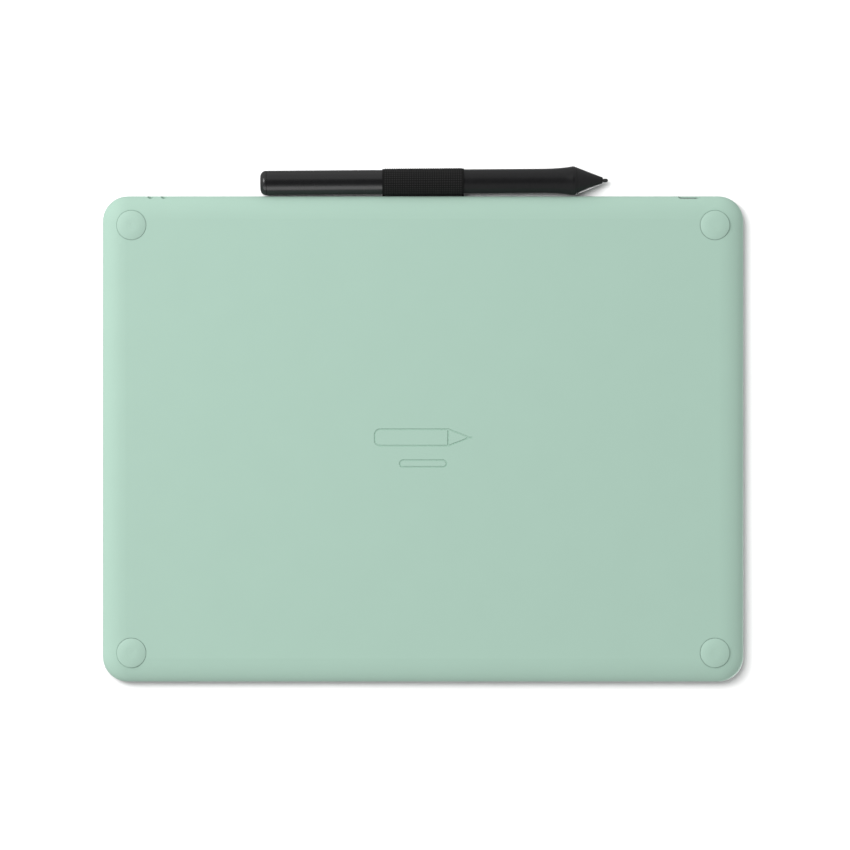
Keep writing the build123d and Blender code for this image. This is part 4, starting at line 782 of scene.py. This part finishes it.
class TABLET_OT_key_marks(bpy.types.Operator):
    """Raise a touch bar on each shortcut key and a ring on the power button"""

    bl_idname = "tablet.key_marks"
    bl_label = "Key marks"

    def execute(self, context):
        sizes = context.scene.tablet_sizes
        half_length = sizes.key_bar / 2
        half_width = sizes.key_bar_width / 2
        first_centre = centre_of("shortcut_key_1")
        first = rounded_bar("key_1_touch_bar",
                            (first_centre.x - half_length, first_centre.y - half_width, -MARK_ROOT),
                            (first_centre.x + half_length, first_centre.y + half_width,
                             sizes.key_bar_height),
                            sizes.key_bar_height * 0.6)
        lay_on(first, "shortcut_key_1")
        bars = [first]
        for number in (2, 3, 4):
            shift = centre_of(f"shortcut_key_{number}") - first_centre
            shift.z = 0.0
            bars.append(copied(first, f"key_{number}_touch_bar", Matrix.Translation(shift)))
        for number, bar in enumerate(bars, start=1):
            finished(bar, f"key_{number}", "key_plastic")
        self.power_ring(sizes)
        return {"FINISHED"}

    @staticmethod
    def power_ring(sizes):
        """An open ring with a stroke in its gap, as one raised piece."""
        centre = centre_of("power_button")
        ring_radius = sizes.ring_radius
        stroke = sizes.ring_stroke
        gap = sizes.ring_gap
        low_z = -MARK_ROOT
        high_z = sizes.key_bar_height * 0.8
        start = math.pi / 2 + gap / 2
        deselect_all()
        bpy.ops.mesh.primitive_plane_add(size=1.0, location=(0.0, 0.0, 0.0))
        ring = bpy.context.object
        ring.name = "power_ring_mark"
        ring.data.name = "power_ring_mark"
        section = Matrix.Rotation(start, 4, "Z") @ Matrix.Translation(
            (ring_radius, 0.0, (low_z + high_z) / 2)) @ Matrix.Rotation(math.pi / 2, 4, "X")
        ring.data.transform(section @ Matrix.Diagonal((stroke, high_z - low_z, 1.0, 1.0)))
        ring.data.transform(Matrix.Translation((centre.x, centre.y, 0.0)))
        bpy.ops.object.mode_set(mode="EDIT")
        bpy.ops.mesh.select_all(action="SELECT")
        bpy.ops.mesh.spin(steps=36, angle=2 * math.pi - gap, center=(centre.x, centre.y, 0.0),
                          axis=(0.0, 0.0, 1.0), dupli=False)
        bpy.ops.mesh.select_all(action="SELECT")
        bpy.ops.mesh.remove_doubles(threshold=SAME_PLACE)
        bpy.ops.object.mode_set(mode="OBJECT")
        close_and_face_out(ring)
        stroke_start = centre.y + ring_radius * 0.35
        stroke_end = centre.y + ring_radius * 1.25
        bar = rounded_bar("power_stroke", (centre.x - stroke / 2, stroke_start, low_z),
                          (centre.x + stroke / 2, stroke_end, high_z), 0.03 * MM)
        deselect_all()
        bar.select_set(True)
        ring.select_set(True)
        bpy.context.view_layer.objects.active = ring
        bpy.ops.object.join()
        lay_on(ring, "power_button")
        finished(ring, "power_key", "key_plastic")


def close_and_face_out(piece):
    """Fills open ends and turns every face outwards."""
    deselect_all()
    piece.select_set(True)
    bpy.context.view_layer.objects.active = piece
    bpy.ops.object.mode_set(mode="EDIT")
    bpy.ops.mesh.select_mode(type="EDGE")
    bpy.ops.mesh.select_all(action="DESELECT")
    mesh = bmesh.from_edit_mesh(piece.data)
    open_edges = [edge for edge in mesh.edges if edge.is_boundary]
    bmesh.ops.holes_fill(mesh, edges=open_edges, sides=8)
    bmesh.ops.recalc_face_normals(mesh, faces=mesh.faces)
    bmesh.update_edit_mesh(piece.data)
    bpy.ops.object.mode_set(mode="OBJECT")


class TABLET_OT_socket_contacts(bpy.types.Operator):
    """Lay the gold contacts on the data socket's tongue"""

    bl_idname = "tablet.socket_contacts"
    bl_label = "Socket contacts"

    def execute(self, context):
        low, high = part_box("data_socket_tongue")
        sizes = context.scene.tablet_sizes
        count = sizes.contact_count
        pitch = (high.x - low.x) / count
        width = pitch / 2
        first_x = low.x + pitch / 2
        back_y = low.y + 0.4 * MM
        mouth_y = high.y - 0.25 * MM
        sunk_z = low.z + 0.02 * MM
        first = rounded_bar("socket_contact_1",
                            (first_x - width / 2, back_y, low.z - sizes.contact_thickness),
                            (first_x + width / 2, mouth_y, sunk_z), 0.005 * MM)
        gold = contact_gold().material
        contacts = [first]
        for number in range(1, count):
            shift = Matrix.Translation((pitch * number, 0.0, 0.0))
            contacts.append(copied(first, f"socket_contact_{number + 1}", shift))
        for contact in contacts:
            finished(contact, "tablet", "copper", gold)
        return {"FINISHED"}


class TABLET_OT_finishes(bpy.types.Operator):
    """Give every part of the tablet and the pen its finish"""

    bl_idname = "tablet.finishes"
    bl_label = "Finishes"

    def execute(self, context):
        for node in frame["nodes"].values():
            for index, material in enumerate(list(node.data.materials)):
                slot = material.name.split(".")[0]
                if slot not in FINISHES:
                    raise RuntimeError(f"{node.name} has the unknown slot {slot}")
                node.data.materials[index] = finish_for(slot)
        return {"FINISHED"}


# ---------------------------------------------------------------- studio
KEY_WAY = Vector((0.63, 0.36, -0.68))         # from the tablet towards its key light
FLOOD_WAY = Vector((0.36, 0.48, -0.80))       # and towards the backdrop's light
TOP_WAY = Vector((-0.7, -0.5, 1.2))           # and towards the light over the drawing side
LIGHT_DISTANCE = 1.35
KEY_SIZE = 0.55
FLOOD_SIZE = 1.1
TOP_SPREAD = math.radians(40.0)
STRIP_SLANT = math.radians(57.0)              # from straight below, towards the tablet's near side
STRIP_DISTANCE = 0.6
STRIP_LENGTH = 1.2
STRIP_WIDTH = 0.36
STAGE_SIZE = 6.0
STAGE_COLOUR = (0.8, 0.8, 0.8)
BACKDROP_GAP = 0.1 * MM                       # backdrop over the drawing side
AIM_SHIFT = Vector((-0.78 * MM, 5.73 * MM, 0.0))     # view's middle from the back cover's middle


def one_sided(name, colour, roughness):
    """A pale surface that is seen from its front only."""
    finish = Finish(name, colour, roughness)
    finish.tint(finish.noise(40 * MM), 0.01)
    tree = finish.tree
    geometry = finish.node("ShaderNodeNewGeometry")
    clear = finish.node("ShaderNodeBsdfTransparent")
    mix = finish.node("ShaderNodeMixShader")
    tree.links.new(geometry.outputs["Backfacing"], mix.inputs["Fac"])
    tree.links.new(finish.shader.outputs["BSDF"], mix.inputs[1])
    tree.links.new(clear.outputs["BSDF"], mix.inputs[2])
    tree.links.new(mix.outputs["Shader"], tree.nodes["Material Output"].inputs["Surface"])
    return finish.material


def stage_plane(name, height, size, facing_down, colour):
    """A plane of the studio that lights and other surfaces don't notice."""
    deselect_all()
    bpy.ops.mesh.primitive_plane_add(size=size, location=(0.0, 0.0, height))
    plane = bpy.context.object
    plane.name = name
    bpy.ops.object.transform_apply(location=True, rotation=True, scale=True)
    if facing_down:
        plane.data.flip_normals()
    plane.data.materials.append(one_sided(name + "_paper", colour, 0.9))
    plane.visible_shadow = False
    plane.visible_diffuse = False
    plane.visible_glossy = False
    plane.visible_transmission = False
    return plane


def soft_light(name, place, aim, size, power, size_y=None):
    """A rectangular soft box at a place, turned to its aim."""
    data = bpy.data.lights.new(name, "AREA")
    data.shape = "RECTANGLE"
    data.size = size
    data.size_y = size_y or size
    data.energy = power
    light = bpy.data.objects.new(name, data)
    light.location = place
    light.rotation_mode = "QUATERNION"
    light.rotation_quaternion = (Vector(aim) - Vector(place)).to_track_quat("-Z", "Y")
    bpy.context.scene.collection.objects.link(light)
    return light


def soft_sun(name, way, strength, spread):
    """An even light from far away, from one way, with soft shadows."""
    data = bpy.data.lights.new(name, "SUN")
    data.energy = strength
    data.angle = spread
    light = bpy.data.objects.new(name, data)
    light.rotation_mode = "QUATERNION"
    light.rotation_quaternion = (-Vector(way)).to_track_quat("-Z", "Y")
    bpy.context.scene.collection.objects.link(light)
    return light


def light_only(light, receivers):
    """A light that only these objects receive."""
    lit = bpy.data.collections.new(f"lit_by_{light.name}")
    for receiver in receivers:
        lit.objects.link(receiver)
    light.light_linking.receiver_collection = lit


def light_tent(brightness):
    """White walls, brighter on the key light's side, dimmer overhead, dark straight below."""
    world = bpy.data.worlds.new("light_tent")
    bpy.context.scene.world = world
    world.use_nodes = True
    tree = world.node_tree
    direction = tree.nodes.new("ShaderNodeTexCoord").outputs["Generated"]

    def along(axis):
        """How far the direction points along an axis."""
        dot = tree.nodes.new("ShaderNodeVectorMath")
        dot.operation = "DOT_PRODUCT"
        dot.inputs[1].default_value = axis
        tree.links.new(direction, dot.inputs[0])
        return dot.outputs["Value"]

    def ramp(value, start, stop, low, high):
        """A smooth change from low to high."""
        spread = tree.nodes.new("ShaderNodeMapRange")
        spread.interpolation_type = "SMOOTHSTEP"
        for name, number in (("From Min", start), ("From Max", stop), ("To Min", low), ("To Max", high)):
            spread.inputs[name].default_value = number
        tree.links.new(value, spread.inputs["Value"])
        return spread.outputs["Result"]

    def product(first, second):
        """Two factors multiplied."""
        times = tree.nodes.new("ShaderNodeMath")
        times.operation = "MULTIPLY"
        tree.links.new(first, times.inputs[0])
        tree.links.new(second, times.inputs[1])
        return times.outputs["Value"]

    opening_rim = math.cos(math.radians(36.0))
    opening_middle = math.cos(math.radians(14.0))
    dark = 0.02
    down = along((0.0, 0.0, -1.0))
    opening = ramp(down, opening_rim, opening_middle, brightness, dark)
    overhead = ramp(down, -0.4, -0.05, 0.5, 1.0)
    sideways = ramp(along((0.8, 0.6, 0.0)), -1.0, 1.0, 0.83, 1.17)
    strength = product(product(opening, overhead), sideways)
    tree.links.new(strength, tree.nodes["Background"].inputs["Strength"])
    tree.nodes["Background"].inputs["Color"].default_value = (1.0, 1.0, 1.0, 1.0)


class TABLET_OT_studio(bpy.types.Operator):
    """Set up the pale floor, the backdrop over the drawing side, the lights and the camera"""

    bl_idname = "tablet.studio"
    bl_label = "Studio"

    def execute(self, context):
        scene = context.scene
        studio = scene.tablet_studio
        scene.view_settings.view_transform = "Standard"
        low, _ = CAD_BOX
        tablet_middle = centre_of("back_cover")
        face_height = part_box("front_cover")[1].z
        stage_plane("desk", 0.0, STAGE_SIZE, False, STAGE_COLOUR)
        backdrop = stage_plane("backdrop", face_height + BACKDROP_GAP, STAGE_SIZE, True, STAGE_COLOUR)
        light_tent(studio.tent_light)
        key_place = tablet_middle + KEY_WAY.normalized() * LIGHT_DISTANCE
        soft_light("key_light", key_place, tablet_middle, KEY_SIZE, studio.key_power)
        flood_place = tablet_middle + FLOOD_WAY.normalized() * LIGHT_DISTANCE
        flood = soft_light("backdrop_flood", flood_place, tablet_middle, FLOOD_SIZE, studio.flood_power)
        light_only(flood, [backdrop])
        barrel = [frame["nodes"][name] for name in ("pen_rear_barrel", "pen_end_cap")]
        pen_middle = centre_of("pen_rear_barrel")
        strip_way = Vector((0.0, -math.sin(STRIP_SLANT), -math.cos(STRIP_SLANT)))
        strip = soft_light("barrel_strip", pen_middle + strip_way * STRIP_DISTANCE, pen_middle,
                           STRIP_LENGTH, studio.strip_power, size_y=STRIP_WIDTH)
        light_only(strip, barrel)
        soft_sun("top_light", TOP_WAY, studio.top_strength, TOP_SPREAD)
        data = bpy.data.cameras.new("view")
        data.lens = studio.lens
        data.sensor_width = 36.0
        camera = bpy.data.objects.new("view", data)
        aim = tablet_middle + AIM_SHIFT
        camera.location = (aim.x, aim.y, low.z - studio.view_distance)
        camera.rotation_euler = (0.0, math.pi, 0.0)
        scene.collection.objects.link(camera)
        scene.camera = camera
        return {"FINISHED"}


# ---------------------------------------------------------------- panel and registration
STEPS = ("finishes", "ribbon", "sheet_marks", "key_marks", "socket_contacts", "studio")


class TABLET_PT_looks(bpy.types.Panel):
    """Steps and settings of the tablet's looks"""

    bl_idname = "TABLET_PT_looks"
    bl_label = "Drawing Tablet"
    bl_space_type = "VIEW_3D"
    bl_region_type = "UI"
    bl_category = "Drawing Tablet"

    def draw(self, context):
        column = self.layout.column(align=True)
        for step in STEPS:
            column.operator(f"tablet.{step}")
        for group in (context.scene.tablet_colours, context.scene.tablet_sizes, context.scene.tablet_studio):
            box = self.layout.box()
            for name in group.bl_rna.properties.keys():
                if name not in ("rna_type", "name"):
                    box.prop(group, name)


CLASSES = (
    TabletColours,
    TabletSizes,
    TabletStudio,
    TABLET_OT_finishes,
    TABLET_OT_ribbon,
    TABLET_OT_sheet_marks,
    TABLET_OT_key_marks,
    TABLET_OT_socket_contacts,
    TABLET_OT_studio,
    TABLET_PT_looks,
)


def register():
    """Registers the classes and hangs the settings on the scene."""
    for cls in CLASSES:
        bpy.utils.register_class(cls)
    bpy.types.Scene.tablet_colours = PointerProperty(type=TabletColours)
    bpy.types.Scene.tablet_sizes = PointerProperty(type=TabletSizes)
    bpy.types.Scene.tablet_studio = PointerProperty(type=TabletStudio)


def unregister():
    """Takes back what register did."""
    del bpy.types.Scene.tablet_studio
    del bpy.types.Scene.tablet_sizes
    del bpy.types.Scene.tablet_colours
    for cls in reversed(CLASSES):
        bpy.utils.unregister_class(cls)


def main():
    """Builds the looks, step by step."""
    register()
    for step in STEPS:
        getattr(bpy.ops.tablet, step)()


if __name__ == "__main__":
    main()
